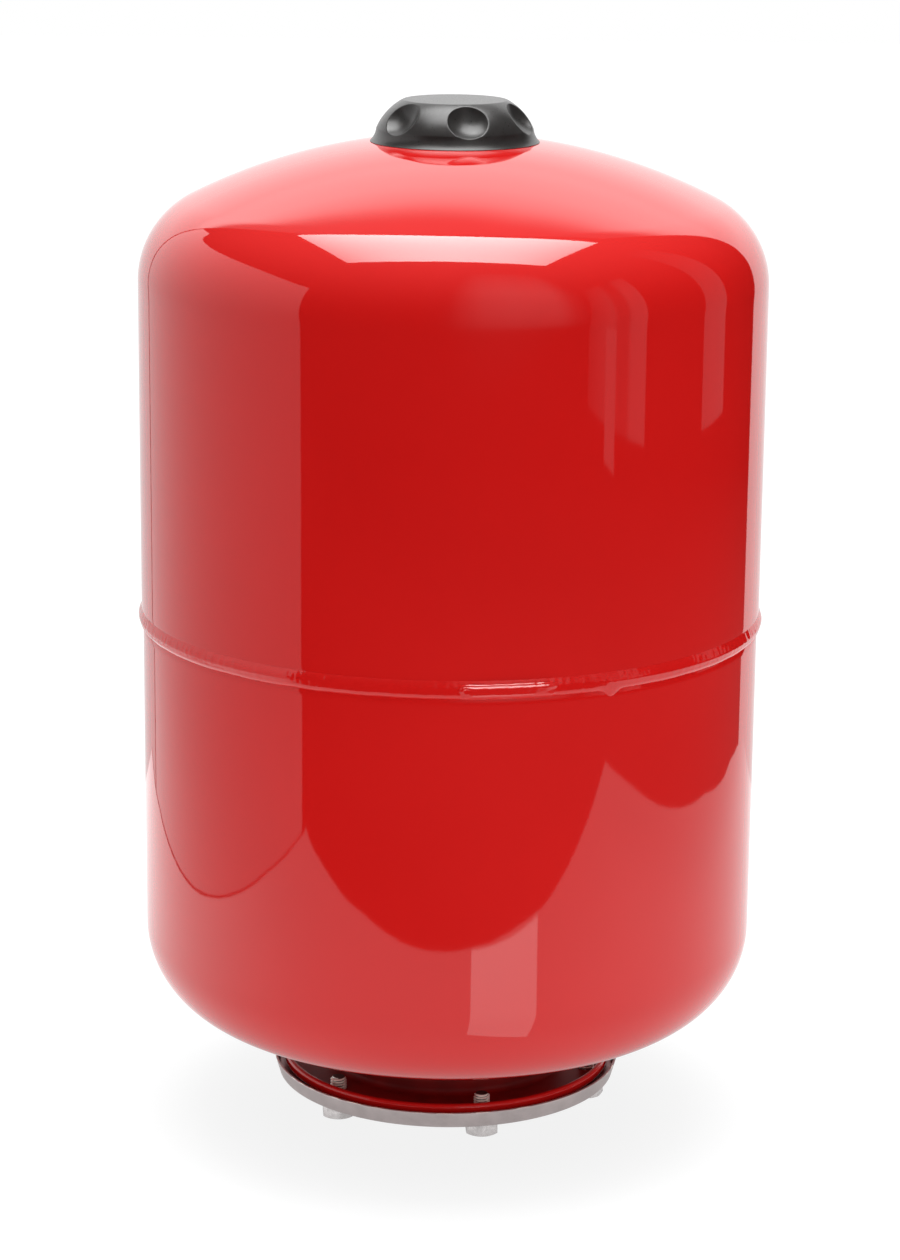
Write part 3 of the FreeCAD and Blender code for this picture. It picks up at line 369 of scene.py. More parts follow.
FLANGE_WALL = 0.0025
NECK_BEND = 0.003
RIM_BEND = 0.0005
RIM_HEIGHT = 0.0033
RIM_INSIDE, RIM_OUTSIDE = 0.0006, 0.0014
BOLT_CIRCLE = 0.068
BOLT_FIRST = 30
THREAD_HOLE = 0.00405
flange_low, flange_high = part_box("tank_flange")
flange_radius = 0.076
under = flange_low.z
floor = under + FLANGE_WALL
neck_outside = NECK_HOLE - 0.0001
neck_inside = neck_outside - FLANGE_WALL
flange_ring = turned(section(
    (neck_inside, flange_high.z),
    (neck_inside, under + NECK_BEND + FLANGE_WALL, 4),
    (neck_inside + NECK_BEND + FLANGE_WALL, under, NECK_BEND + FLANGE_WALL, "left", 12),
    (flange_radius - RIM_BEND - FLANGE_WALL, under, 4),
    (flange_radius, under + RIM_BEND + FLANGE_WALL, RIM_BEND + FLANGE_WALL, "left", 10),
    (flange_radius, floor + RIM_HEIGHT - RIM_OUTSIDE),
    (flange_radius - RIM_OUTSIDE, floor + RIM_HEIGHT, RIM_OUTSIDE, "left", 8),
    (flange_radius - FLANGE_WALL + RIM_INSIDE, floor + RIM_HEIGHT),
    (flange_radius - FLANGE_WALL, floor + RIM_HEIGHT - RIM_INSIDE, RIM_INSIDE, "left", 6),
    (flange_radius - FLANGE_WALL, floor + RIM_BEND),
    (flange_radius - FLANGE_WALL - RIM_BEND, floor, RIM_BEND, "right", 5),
    (neck_outside + NECK_BEND, floor, 4),
    (neck_outside, floor + NECK_BEND, NECK_BEND, "right", 10),
    (neck_outside, flange_high.z, 4),
), 192)
flange_ring = cut_from(flange_ring, pins_on_circle(THREAD_HOLE, BOLT_CIRCLE, under - 0.001, floor + 0.001,
                                                   BOLT_FIRST))
# Painted shade: a much darker red than the coat, for the shade in the trough, on the neck and under the
# ring.
shaded_trough_red, shaded_trough_shader = new_finish("red_coat_painted_trough_shade", RED, 0.5)
shaded_trough_shader.inputs["Specular IOR Level"].default_value = 0.25
varied(shaded_trough_red, shaded_trough_shader, "Base Color", pattern(shaded_trough_red, 60, 4), 0.35, 0.7,
       (0.15, 0.0016, 0.0014), (0.24, 0.0028, 0.0024))
raised(shaded_trough_red, shaded_trough_shader, pattern(shaded_trough_red, 420, 3), 0.00001)
# Only the rim's outside and top keep the plain red coat; every other face keeps the painted shade.
for face in flange_ring.faces:
    middle = face.calc_center_median()
    if math.hypot(middle.x, middle.y) > flange_radius - FLANGE_WALL - 0.0001 and middle.z > under + 0.001:
        face.material_index = 1
tank_flange = made(flange_ring, "pressed_tank_flange", shaded_trough_red)
tank_flange.data.materials.append(red_coat)
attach(tank_flange, "tank")
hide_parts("tank_flange")


# Neck weld
# The bead in the corner between the neck and the lower shell, under the red coat, which here is the
# trough's darker red of painted shade.
def push_out(point, amount):
    """Moves a point of a piece away from the tank's axis."""
    share = 1 + amount / math.hypot(point.co.x, point.co.y)
    point.co.x *= share
    point.co.y *= share


NECK_LEG = 0.0035
NECK_RIPPLE = 0.00016
neck_meet = lower_middle - math.sqrt(LOWER_CROWN ** 2 - neck_outside ** 2)
toe = neck_outside + NECK_LEG
bead = turned(section(
    (neck_outside, neck_meet),
    (neck_outside, neck_meet - NECK_LEG),
    (toe, lower_middle - math.sqrt(LOWER_CROWN ** 2 - toe ** 2), NECK_LEG * 1.4, "right", 12),
), 720)
for point in bead.verts:
    if math.hypot(point.co.x, point.co.y) > neck_outside + 0.0002:
        ripple = noise.noise(Vector((point.co.x * 900, point.co.y * 900, point.co.z * 500)))
        push_out(point, NECK_RIPPLE * ripple)
neck_weld = made(bead, "neck_weld_bead", shaded_trough_red)
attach(neck_weld, "tank")
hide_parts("neck_weld")


# Bladder
# Moulded black rubber, with a lip that the two flanges clamp. Only its lip and mouth can be reached.
rubber, rubber_shader = new_finish("moulded_rubber", (0.022, 0.022, 0.023), 0.62)
varied(rubber, rubber_shader, "Base Color", pattern(rubber, 120, 4), 0.3, 0.75,
       (0.018, 0.018, 0.019), (0.03, 0.03, 0.031))
varied(rubber, rubber_shader, "Roughness", pattern(rubber, 60), 0.3, 0.7, 0.5, 0.72)
raised(rubber, rubber_shader, pattern(rubber, 900, 3), 0.00002)


def dress(node, material):
    """Gives a piece that stays as it was built its finish."""
    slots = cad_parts[node].material_slots
    if len(slots) == 0:
        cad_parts[node].data.materials.append(material)
    for slot in slots:
        slot.material = material


dress("bladder", rubber)


# Counter flange
# A dish pressed from 2.5 mm steel whose rim stands up round the red ring. Zinc-plated, dull and
# faintly mottled, with a burr left along the rim's upper edge; the burr's faces are painted a paler,
# smoother metal as painted glints.
COUNTER_EDGE = 0.00025
COUNTER_CORNER = 0.0006
RIM_LEAN = 0.001
RIM_THIN = 0.0011
COUNTER_HOLE = 0.0045
SPIGOT_HOLE = 0.0121
BURR_LUMPS = 150
BURR_HEIGHT = 0.0004
ZINC = (0.575, 0.505, 0.50)
ZINC_DULL = (0.47, 0.41, 0.405)
counter_low, counter_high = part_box("counter_flange")
counter_radius = counter_high.x
counter_under = counter_low.z
counter_floor = counter_under + FLANGE_WALL
counter_rim = counter_high.z + 0.0003
counter_dish = turned(section(
    (SPIGOT_HOLE, counter_under),
    (counter_radius - RIM_LEAN - COUNTER_CORNER, counter_under, 6),
    (counter_radius - RIM_LEAN, counter_under + COUNTER_CORNER, COUNTER_CORNER * 1.1, "left", 8),
    (counter_radius + RIM_LEAN, counter_rim - COUNTER_EDGE, 5),
    (counter_radius + RIM_LEAN - COUNTER_EDGE, counter_rim, COUNTER_EDGE, "left", 4),
    (counter_radius + RIM_LEAN - RIM_THIN + COUNTER_EDGE, counter_rim),
    (counter_radius + RIM_LEAN - RIM_THIN, counter_rim - COUNTER_EDGE, COUNTER_EDGE, "left", 4),
    (counter_radius - RIM_THIN - RIM_BEND / 2, counter_floor + RIM_BEND, 2),
    (counter_radius - RIM_THIN - RIM_BEND * 1.5, counter_floor, RIM_BEND, "right", 5),
    (SPIGOT_HOLE, counter_floor, 6),
), 256)


def burr_at(spot):
    """How much burr the press left at a spot of the rim, from about -1 to 1."""
    return noise.noise(Vector((spot.x * BURR_LUMPS, spot.y * BURR_LUMPS, 0)))


for point in counter_dish.verts:
    if point.co.z > counter_rim - COUNTER_EDGE * 1.5:
        point.co.z += BURR_HEIGHT * max(burr_at(point.co) - 0.2, 0)
counter_dish = cut_from(counter_dish, pins_on_circle(COUNTER_HOLE, BOLT_CIRCLE, counter_under - 0.001,
                                                     counter_floor + 0.001, BOLT_FIRST))
zinc, zinc_shader = new_finish("dull_zinc_plate", ZINC, 0.45, 0.75)
varied(zinc, zinc_shader, "Base Color", pattern(zinc, 130, 5, 0.6), 0.32, 0.68, ZINC_DULL, ZINC)
varied(zinc, zinc_shader, "Roughness", pattern(zinc, 260, 4), 0.3, 0.7, 0.36, 0.55)
raised(zinc, zinc_shader, pattern(zinc, 700, 4, 0.6), 0.000012)
# Painted glint: a paler, shinier metal than the zinc on the burr's faces, so that the edge sparkles.
burr_glint_metal, burr_glint_shader = new_finish("burr_painted_glint", (0.9, 0.86, 0.78), 0.22, 0.7)
raised(burr_glint_metal, burr_glint_shader, pattern(burr_glint_metal, 1500, 3), 0.00003)
for face in counter_dish.faces:
    middle = face.calc_center_median()
    across = math.hypot(middle.x, middle.y)
    outside = across > counter_radius + RIM_LEAN - RIM_THIN / 2
    if outside and middle.z > counter_rim - COUNTER_EDGE and burr_at(middle) > 0.1:
        face.material_index = 1
counter_flange = made(counter_dish, "pressed_counter_flange", zinc)
counter_flange.data.materials.append(burr_glint_metal)
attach(counter_flange, "tank")
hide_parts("counter_flange")


# Water connection
# A pipe stub turned from bar, with a 3/4 inch pipe thread, a run-out behind it and a thin end that
# fills the flange's hole. Plated with the flange after they are welded together.
def threaded_rod(crest, root, pitch, low, high, steps=60, bevel=0.0):
    """A closed right-hand threaded rod on the tank's axis. bevel is the chamfer at each end."""
    turns = math.ceil((high - low) / pitch) + 2
    tooth = bmesh.new()
    pen = tooth.verts.new((root, 0, 0))
    for across, up in ((root, 0.12), (crest, 0.44), (crest, 0.56), (root, 0.88), (root, 1.0)):
        pen = bmesh.ops.extrude_vert_indiv(tooth, verts=[pen])["verts"][0]
        pen.co = (across, 0, up * pitch)
    bmesh.ops.translate(tooth, vec=(0, 0, low - pitch), verts=tooth.verts)
    bmesh.ops.spin(tooth, geom=tooth.verts[:] + tooth.edges[:], cent=(0, 0, 0), axis=(0, 0, 1),
                   dvec=(0, 0, pitch / steps), angle=2 * math.pi * turns, steps=steps * turns)
    bmesh.ops.remove_doubles(tooth, verts=tooth.verts[:], dist=pitch / 500)
    for height, side in ((low, -1), (high, 1)):
        whole = tooth.verts[:] + tooth.edges[:] + tooth.faces[:]
        bmesh.ops.bisect_plane(tooth, geom=whole, plane_co=(0, 0, height), plane_no=(0, 0, side),
                               clear_outer=True)
    bmesh.ops.remove_doubles(tooth, verts=tooth.verts[:], dist=pitch / 500)
    bmesh.ops.holes_fill(tooth, edges=[edge for edge in tooth.edges if edge.is_boundary], sides=0)
    for point in tooth.verts:
        across = math.hypot(point.co.x, point.co.y)
        room = min(point.co.z - low, high - point.co.z)
        limit = crest - bevel + room
        if across > limit:
            point.co.x *= limit / across
            point.co.y *= limit / across
    bmesh.ops.recalc_face_normals(tooth, faces=tooth.faces[:])
    return tooth


PIPE_PITCH = 0.001814
PIPE_TOOTH = 0.00116
PIPE_CHAMFER = 0.0012
PIPE_BORE = 0.010
RUN_OUT = 0.0038
RUN_OUT_RADIUS = 0.0124
SPIGOT_RADIUS = 0.012
pipe_low, pipe_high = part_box("connection_nipple")
pipe_radius = pipe_high.x
stub = threaded_rod(pipe_radius, pipe_radius - PIPE_TOOTH, PIPE_PITCH, pipe_low.z,
                    counter_under - RUN_OUT, 96, PIPE_CHAMFER)
end = turned(section(
    (0, counter_under - RUN_OUT - 0.001),
    (RUN_OUT_RADIUS - 0.0005, counter_under - RUN_OUT - 0.001),
    (RUN_OUT_RADIUS, counter_under - RUN_OUT),
    (RUN_OUT_RADIUS, counter_under),
    (SPIGOT_RADIUS, counter_under),
    (SPIGOT_RADIUS, pipe_high.z),
    (0, pipe_high.z),
), 96)
stub = cut_from(stub, end, "UNION")
bore = turned(section(
    (0, pipe_low.z - 0.001),
    (PIPE_BORE + 0.0015, pipe_low.z - 0.001),
    (PIPE_BORE, pipe_low.z + 0.0005),
    (PIPE_BORE, pipe_high.z + 0.001, 3),
    (0, pipe_high.z + 0.001),
), 96)
stub = cut_from(stub, bore)
connection_nipple = made(stub, "turned_water_connection", zinc, 28)
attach(connection_nipple, "tank")
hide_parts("connection_nipple")


# Water connection's weld
# The bead that seals the stub to the underside of the counter flange, plated over.
PIPE_LEG = 0.003
SCALLOPS = 26
SCALLOP_DEPTH = 0.00022
bead = turned(section(
    (RUN_OUT_RADIUS, counter_under),
    (RUN_OUT_RADIUS, counter_under - PIPE_LEG),
    (RUN_OUT_RADIUS + PIPE_LEG, counter_under, PIPE_LEG * 1.4, "right", 12),
), 360)
for point in bead.verts:
    across = math.hypot(point.co.x, point.co.y)
    if across > RUN_OUT_RADIUS + 0.0002 and point.co.z < counter_under - 0.0001:
        angle = math.atan2(point.co.y, point.co.x)
        scallop = abs(math.sin(angle * SCALLOPS + 2 * noise.noise(Vector((angle * 3, 0, 0)))))
        push_out(point, SCALLOP_DEPTH * scallop - 0.0001)
nipple_weld = made(bead, "water_connection_weld", zinc)
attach(nipple_weld, "tank")
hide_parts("nipple_weld")


# Flange screws
# Six hexagon screws, M8, driven up from below through the counter flange into the tank flange's
# tapped holes. Bright zinc; their thread ends stand up out of the trough, with a painted highlight
# on the thread crests and painted shade in the roots and on the end faces.
HEAD_HEIGHT = 0.0053
HEAD_EXTRA = 0.0011
HEAD_ACROSS = 0.014
HEAD_SLOPE = 0.0006
BOLT_RADIUS = 0.0037
BOLT_PITCH = 0.00125
BOLT_TOOTH = 0.0008
CREST_FROM, CREST_TO = 0.2, 0.8
FIRST_HEAD_TURN, HEAD_TURN_STEP = 18, 17
BRIGHT_ZINC = (0.76, 0.72, 0.715)
BRIGHT_ZINC_LOW = (0.64, 0.605, 0.60)
bolt_low, bolt_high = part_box("flange_bolts")
head_foot = bolt_low.z - HEAD_EXTRA
head_tall = HEAD_HEIGHT + HEAD_EXTRA
head_corner = HEAD_ACROSS / math.sqrt(3)
hexagon = bmesh.new()
bmesh.ops.create_cone(hexagon, cap_ends=True, segments=6, radius1=head_corner, radius2=head_corner,
                      depth=head_tall,
                      matrix=Matrix.Translation((0, 0, head_foot + head_tall / 2))
                      @ Matrix.Rotation(math.radians(30), 4, "Z"))
corner_round = HEAD_SLOPE * 1.75
bevel_disc = turned(section(
    (0, head_foot),
    (head_corner - corner_round, head_foot),
    (head_corner + 0.0002, head_foot + HEAD_SLOPE * 1.1),
    (head_corner + 0.0002, head_foot + head_tall + 0.001),
    (0, head_foot + head_tall + 0.001),
), 72)
head = cut_from(hexagon, bevel_disc, "INTERSECT")
bmesh.ops.bevel(head, geom=[edge for edge in head.edges if edge.calc_face_angle(0) > 0.5
                            and edge.calc_length() > 0.0015],
                offset=0.0002, segments=2, profile=0.5, affect="EDGES", material=-1)
shank_foot = bolt_low.z + HEAD_HEIGHT - 0.0004
shank = threaded_rod(BOLT_RADIUS, BOLT_RADIUS - BOLT_TOOTH, BOLT_PITCH, shank_foot, bolt_high.z, 40, 0.0010)
screw = cut_from(head, shank, "UNION")
# Painted highlight and shade: above the trough floor, crest faces get a pale metal and the roots and end
# faces a near-black one.
for face in screw.faces:
    middle = face.calc_center_median()
    if middle.z > floor:
        turned_by = math.atan2(middle.y, middle.x) / (2 * math.pi)
        across_tooth = ((middle.z - shank_foot) / BOLT_PITCH - turned_by) % 1
        on_crest = CREST_FROM < across_tooth < CREST_TO and face.normal.z < 0.95
        face.material_index = 1 if on_crest else 2
screws = bmesh.new()
pattern_mesh = bpy.data.meshes.new("one_screw")
screw.to_mesh(pattern_mesh)
screw.free()
for index in range(6):
    before = set(screws.verts)
    screws.from_mesh(pattern_mesh)
    new_points = [point for point in screws.verts if point not in before]
    own_turn = Matrix.Rotation(math.radians(HEAD_TURN_STEP * index * index + FIRST_HEAD_TURN), 4, "Z")
    place = Matrix.Rotation(math.radians(BOLT_FIRST + 60 * index), 4, "Z") @ Matrix.Translation(
        (BOLT_CIRCLE, 0, 0))
    bmesh.ops.transform(screws, matrix=place @ own_turn, verts=new_points)
bpy.data.meshes.remove(pattern_mesh)
bright, bright_shader = new_finish("bright_zinc_plate", BRIGHT_ZINC, 0.3, 0.9)
varied(bright, bright_shader, "Base Color", pattern(bright, 500, 4), 0.3, 0.7, BRIGHT_ZINC_LOW, BRIGHT_ZINC)
varied(bright, bright_shader, "Roughness", pattern(bright, 700, 3), 0.3, 0.7, 0.22, 0.4)
raised(bright, bright_shader, pattern(bright, 1500, 3), 0.000006)
flange_bolts = made(screws, "flange_screws", bright, 28)
# The pale crest finish is painted highlight, the near-black root finish painted shade.
for name, color, roughness in (("thread_crest_painted_highlight", (0.88, 0.85, 0.78), 0.3),
                               ("thread_root_painted_shade", (0.045, 0.03, 0.024), 0.5)):
    thread, thread_shader = new_finish(name, color, roughness, 0.3)
    raised(thread, thread_shader, pattern(thread, 1500, 3), 0.000006)
    flange_bolts.data.materials.append(thread)
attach(flange_bolts, "tank")
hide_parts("flange_bolts")


# Air valve
# Turned steel, welded by its foot to the top of the dome: a coarse thread for the cap, then the
# thinner stem with the fine thread that a pump's chuck screws on to.
FOOT_RADIUS = 0.009
FOOT_HEIGHT = 0.002
COLLAR_RADIUS = 0.006
COLLAR_HEIGHT = 0.005
COLLAR_PITCH = 0.0015
COLLAR_TOOTH = 0.0008
STEM_RADIUS = 0.00385
STEM_PITCH = 0.0008
STEM_TOOTH = 0.00045
VALVE_TAIL = 0.0065
VALVE_SPIGOT = 0.005
PASSAGE = 0.0023
CORE_BORE = 0.0026
CORE_HEAD = 0.0053
valve_low, valve_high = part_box("valve_body")
seat = valve_low.z + VALVE_TAIL
foot_top = seat + FOOT_HEIGHT
stem_foot = foot_top + COLLAR_HEIGHT
valve = turned(section(
    (0, valve_low.z),
    (VALVE_SPIGOT, valve_low.z),
    (VALVE_SPIGOT, seat),
    (FOOT_RADIUS, seat),
    (FOOT_RADIUS, foot_top - 0.0003),
    (FOOT_RADIUS - 0.0003, foot_top),
    (COLLAR_RADIUS - 0.0009, foot_top),
    (COLLAR_RADIUS - 0.0009, foot_top + 0.0005),
    (0, foot_top + 0.0005),
), 96)
collar = threaded_rod(COLLAR_RADIUS, COLLAR_RADIUS - COLLAR_TOOTH, COLLAR_PITCH,
                      foot_top + 0.0003, stem_foot, 64, 0.0006)
stem = threaded_rod(STEM_RADIUS, STEM_RADIUS - STEM_TOOTH, STEM_PITCH,
                    stem_foot - 0.0003, valve_high.z, 48, 0.0005)
valve = cut_from(cut_from(valve, collar, "UNION"), stem, "UNION")
bore = turned(section(
    (0, valve_low.z - 0.001),
    (PASSAGE, valve_low.z - 0.001),
    (PASSAGE, valve_high.z - CORE_HEAD),
    (CORE_BORE, valve_high.z - CORE_HEAD),
    (CORE_BORE, valve_high.z - 0.0003),
    (CORE_BORE + 0.0005, valve_high.z + 0.0002),
    (CORE_BORE + 0.0005, valve_high.z + 0.001),
    (0, valve_high.z + 0.001),
), 64)
valve = cut_from(valve, bore)
steel, steel_shader = new_finish("turned_steel", (0.56, 0.55, 0.53), 0.28, 1.0)
varied(steel, steel_shader, "Roughness", pattern(steel, 900, 3), 0.3, 0.7, 0.2, 0.36)
raised(steel, steel_shader, pattern(steel, 1200, 2, 0.5, (0.1, 0.1, 3)), 0.000004)
valve_body = made(valve, "turned_valve_body", steel, 28)
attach(valve_body, "tank")
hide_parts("valve_body")


# Air valve's weld
# A small bead round the valve's foot, red like the dome.
FOOT_BEAD = 0.0015
FOOT_SCALLOPS = 17
FOOT_SCALLOP_DEPTH = 0.00012
weld_low, weld_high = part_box("valve_weld")
bead = turned(section(
    (FOOT_RADIUS, weld_high.z),
    (FOOT_RADIUS, weld_low.z),
    (FOOT_RADIUS + FOOT_BEAD, weld_low.z),
    (FOOT_RADIUS, weld_high.z, FOOT_BEAD * 1.2, "left", 8),
), 240)
for point in bead.verts:
    if math.hypot(point.co.x, point.co.y) > FOOT_RADIUS + 0.0001:
        angle = math.atan2(point.co.y, point.co.x)
        push_out(point, FOOT_SCALLOP_DEPTH * abs(math.sin(angle * FOOT_SCALLOPS)))
valve_weld = made(bead, "valve_foot_weld", red_coat)
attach(valve_weld, "tank")
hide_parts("valve_weld")


# Valve core
# The brass insert in the stem: a threaded tube with a gasket round it, and the pin with its rubber
# cup, which the spring holds shut.
brass, brass_shader = new_finish("turned_brass", (0.72, 0.53, 0.24), 0.24, 1.0)
varied(brass, brass_shader, "Base Color", pattern(brass, 700, 3), 0.3, 0.7,
       (0.62, 0.44, 0.2), (0.74, 0.55, 0.26))
raised(brass, brass_shader, pattern(brass, 1800, 2, 0.5, (0.1, 0.1, 4)), 0.000003)
for node in ("core_barrel", "core_pin"):
    dress(node, brass)
for node in ("core_seal", "core_cup", "cap_seal"):
    dress(node, rubber)


# Valve core's spring
# Eight coils of drawn wire between the tube's floor and the pin's collar. It shortens when the pin is
# pressed, from the collar down.
WIRE_RADIUS = 0.00015
COILS = 8
COIL_STEPS = 24
spring_low, spring_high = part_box("core_spring")
spring_length = spring_high.z - spring_low.z
coil = bmesh.new()
bmesh.ops.create_circle(coil, segments=10, radius=WIRE_RADIUS, matrix=Matrix.Translation(
    (spring_high.x - WIRE_RADIUS, 0, spring_low.z + WIRE_RADIUS)) @ Matrix.Rotation(math.pi / 2, 4, "X"))
bmesh.ops.spin(coil, geom=coil.verts[:] + coil.edges[:], cent=(0, 0, 0), axis=(0, 0, 1),
               dvec=(0, 0, (spring_length - 2 * WIRE_RADIUS) / (COILS * COIL_STEPS)),
               angle=2 * math.pi * COILS, steps=COILS * COIL_STEPS)
bmesh.ops.holes_fill(coil, edges=[edge for edge in coil.edges if edge.is_boundary], sides=0)
bmesh.ops.recalc_face_normals(coil, faces=coil.faces[:])
wire, wire_shader = new_finish("drawn_spring_wire", (0.6, 0.6, 0.6), 0.25, 1.0)
varied(wire, wire_shader, "Roughness", pattern(wire, 2500, 2), 0.3, 0.7, 0.2, 0.32)
raised(wire, wire_shader, pattern(wire, 2500, 2), 0.000002)
core_spring = made(coil, "coiled_core_spring", wire, 60)
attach(core_spring, "tank")
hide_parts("core_spring")
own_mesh(core_spring)


# Protective cap
# Moulded in black plastic with a fine grain: a flared foot, six round finger dimples, a flat top, and
# inside a socket that screws on to the valve. It rides on its own body, because it comes off.
CAP_WALL = 0.002
CAP_FOOT = 0.0009
CAP_TOP = 0.0178
WAIST_IN = 0.0027
WAIST_UP = 0.0051
FLARE = 0.0085
SHOULDER_IN = 0.0140
SHOULDER_DOWN = 0.0003
SIDE_ROUND = 0.025
TOP_IN = 0.0151
TOP_ROUND = 0.0023
DIMPLE_OUT = 0.0383
DIMPLE_UP = 0.0175
DIMPLE_BALL = 0.0139
DIMPLE_FIRST = 26.7
DIMPLE_SOFTNESS = 0.00022
DIMPLE_FADE = 0.002
SOCKET_RADIUS = 0.0063
FOOT_CLEAR = 0.00012
RIB_WALL = 0.0014
cap_low, cap_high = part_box("protective_cap")
cap_radius = 0.0374
cap_base = cap_low.z
cap_top = cap_base + CAP_TOP
ceiling = cap_high.z - CAP_WALL
socket_end = foot_top + 0.0003


def dome_at(across):
    """How high the tank's dome is, that far out from its axis."""
    return upper_middle + math.sqrt(UPPER_CROWN ** 2 - across ** 2)


cap = turned(section(
    (cap_radius - CAP_WALL, dome_at(cap_radius - CAP_WALL) + FOOT_CLEAR),
    (cap_radius, dome_at(cap_radius) + FOOT_CLEAR, 2),
    (cap_radius, dome_at(cap_radius) + FOOT_CLEAR * 2),
    (cap_radius - WAIST_IN, cap_base + WAIST_UP, FLARE, "right", 19),
    (cap_radius - SHOULDER_IN, cap_top - SHOULDER_DOWN, SIDE_ROUND, "left", 60),
    (cap_radius - TOP_IN, cap_top, TOP_ROUND, "left", 14),
    (0, cap_top, 4),
    (0, ceiling),
    (SOCKET_RADIUS, ceiling),
    (SOCKET_RADIUS, socket_end),
    (SOCKET_RADIUS + CAP_WALL, socket_end),
    (SOCKET_RADIUS + CAP_WALL, ceiling),
    (cap_radius - TOP_IN - CAP_WALL, ceiling, 4),
    (cap_radius - SHOULDER_IN - CAP_WALL, ceiling - 0.0012, 0.01, "right", 3),
    (cap_radius - WAIST_IN - CAP_WALL, cap_base + WAIST_UP, SIDE_ROUND - CAP_WALL, "right", 22),
    (cap_radius - CAP_WALL, cap_base + CAP_FOOT, FLARE, "left", 4),
), 660)
balls = [Vector((DIMPLE_OUT * math.cos(math.radians(DIMPLE_FIRST + 60 * index)),
                 DIMPLE_OUT * math.sin(math.radians(DIMPLE_FIRST + 60 * index)),
                 cap_base + DIMPLE_UP)) for index in range(6)]
cap.normal_update()
for point in cap.verts:
    ball = min(balls, key=lambda middle: (middle - point.co).length)
    away = point.co - ball
    normal_out = Vector((point.co.x, point.co.y, 0)).dot(point.normal)
    reach = DIMPLE_BALL if normal_out > 0 or point.co.z > cap_top - 0.0001 else DIMPLE_BALL + CAP_WALL
    if point.co.z < cap_base + 0.0002 or away.length < 1e-6:
        continue
    depth = reach - away.length
    if math.hypot(point.co.x, point.co.y) > SOCKET_RADIUS + CAP_WALL * 1.5:
        push = (depth + math.sqrt(depth ** 2 + DIMPLE_SOFTNESS ** 2)) / 2
        if depth > -DIMPLE_FADE:
            point.co += away.normalized() * push
bmesh.ops.recalc_face_normals(cap, faces=cap.faces[:])
black, black_shader = new_finish("grained_black_plastic", (0.0125, 0.0118, 0.0113), 0.33)
black_shader.inputs["Specular IOR Level"].default_value = 0.38
varied(black, black_shader, "Base Color", pattern(black, 300, 4), 0.3, 0.7,
       (0.010, 0.0095, 0.009), (0.016, 0.015, 0.0145))
varied(black, black_shader, "Roughness", pattern(black, 1500, 3), 0.3, 0.7, 0.27, 0.37)
raised(black, black_shader, pattern(black, 2600, 2, 0.6), 0.000012)
protective_cap = made(cap, "moulded_cap", black, 40)
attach(protective_cap, "cap")
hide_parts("protective_cap")


# Cap's ribs
# Six webs moulded between the socket and the wall, which keep the cap stiff when it is gripped.
ribs = bmesh.new()
for index in range(6):
    place = (Matrix.Translation((SOCKET_RADIUS + CAP_WALL / 2 + 0.5, 0, (socket_end + ceiling) / 2))
             @ Matrix.Diagonal((1, RIB_WALL, ceiling - socket_end, 1)))
    rib = bmesh.ops.create_cube(ribs, size=1, matrix=place)["verts"]
    standing = [edge for edge in ribs.edges if edge.verts[0] in rib and edge.verts[1] in rib
                and abs(edge.verts[0].co.z - edge.verts[1].co.z) > 0.001]
    bmesh.ops.subdivide_edges(ribs, edges=standing, cuts=5, use_grid_fill=True)
    for point in ribs.verts:
        if point.co.x > 0.5:
            drop = cap_base + DIMPLE_UP - point.co.z
            point.co.x = DIMPLE_OUT - math.sqrt((DIMPLE_BALL + CAP_WALL / 2) ** 2 - drop ** 2)
    next_rib = Matrix.Rotation(math.radians(60), 3, "Z")
    bmesh.ops.rotate(ribs, cent=(0, 0, 0), matrix=next_rib, verts=ribs.verts)
bmesh.ops.rotate(ribs, cent=(0, 0, 0), matrix=Matrix.Rotation(math.radians(DIMPLE_FIRST), 3, "Z"),
                 verts=ribs.verts)
cap_ribs = made(ribs, "cap_ribs", black)
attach(cap_ribs, "cap")


# Studio
# A white table in front of a white backdrop, a pale screen to the left, a soft lamp overhead and a
# dim room in front. The screens show only in reflections; the lamps give the soft even light.
TURN = Matrix.Rotation(math.radians(CAMERA_TURN), 4, "Z")


def light_panel(name, place, level, across=1, up=1):
    """A flat light that is seen only in reflections. place(u, v) gives a point of it, u and v from 0
    to 1, in metres to the camera's right, away from it and up, and level(point) its brightness there."""
    panel = bmesh.new()
    bmesh.ops.create_grid(panel, x_segments=across, y_segments=up, size=0.5)
    brightness = panel.verts.layers.float.new("brightness")
    for point in panel.verts:
        spot = Vector(place(point.co.x + 0.5, point.co.y + 0.5))
        point[brightness] = level(spot)
        point.co = TURN @ spot
    lit = bpy.data.materials.new(name)
    lit.use_nodes = True
    nodes, links = lit.node_tree.nodes, lit.node_tree.links
    nodes.remove(nodes["Principled BSDF"])
    emission = nodes.new("ShaderNodeEmission")
    written = nodes.new("ShaderNodeAttribute")
    written.attribute_name = "brightness"
    links.new(written.outputs["Fac"], emission.inputs["Strength"])
    links.new(emission.outputs["Emission"], nodes["Material Output"].inputs["Surface"])
    piece = made(panel, name, lit)
    piece.visible_camera = False
    piece.visible_diffuse = False
    piece.visible_shadow = False
    return piece


# Left screen: a pale wall that starts beside the tank and is lightest at its back and top.
SCREEN_X = -0.90
SCREEN_FOOT = -0.5


def screen_place(u, v):
    back = along(u, (0, -0.69), (1, 1.02))
    top = along(back, (-0.6, 0.954), (-0.4, 0.971), (-0.2, 0.985), (0.4, 0.987), (0.6, 1.015), (0.7, 1.046),
                (0.8, 1.166))
    height = along(v, (0, SCREEN_FOOT), (1, top))
    front = along(height, (0.1, -0.701), (0.25, -0.694), (0.55, -0.686), (0.9, -0.668))
    return SCREEN_X, along(u, (0, front), (1, 1.02)), height


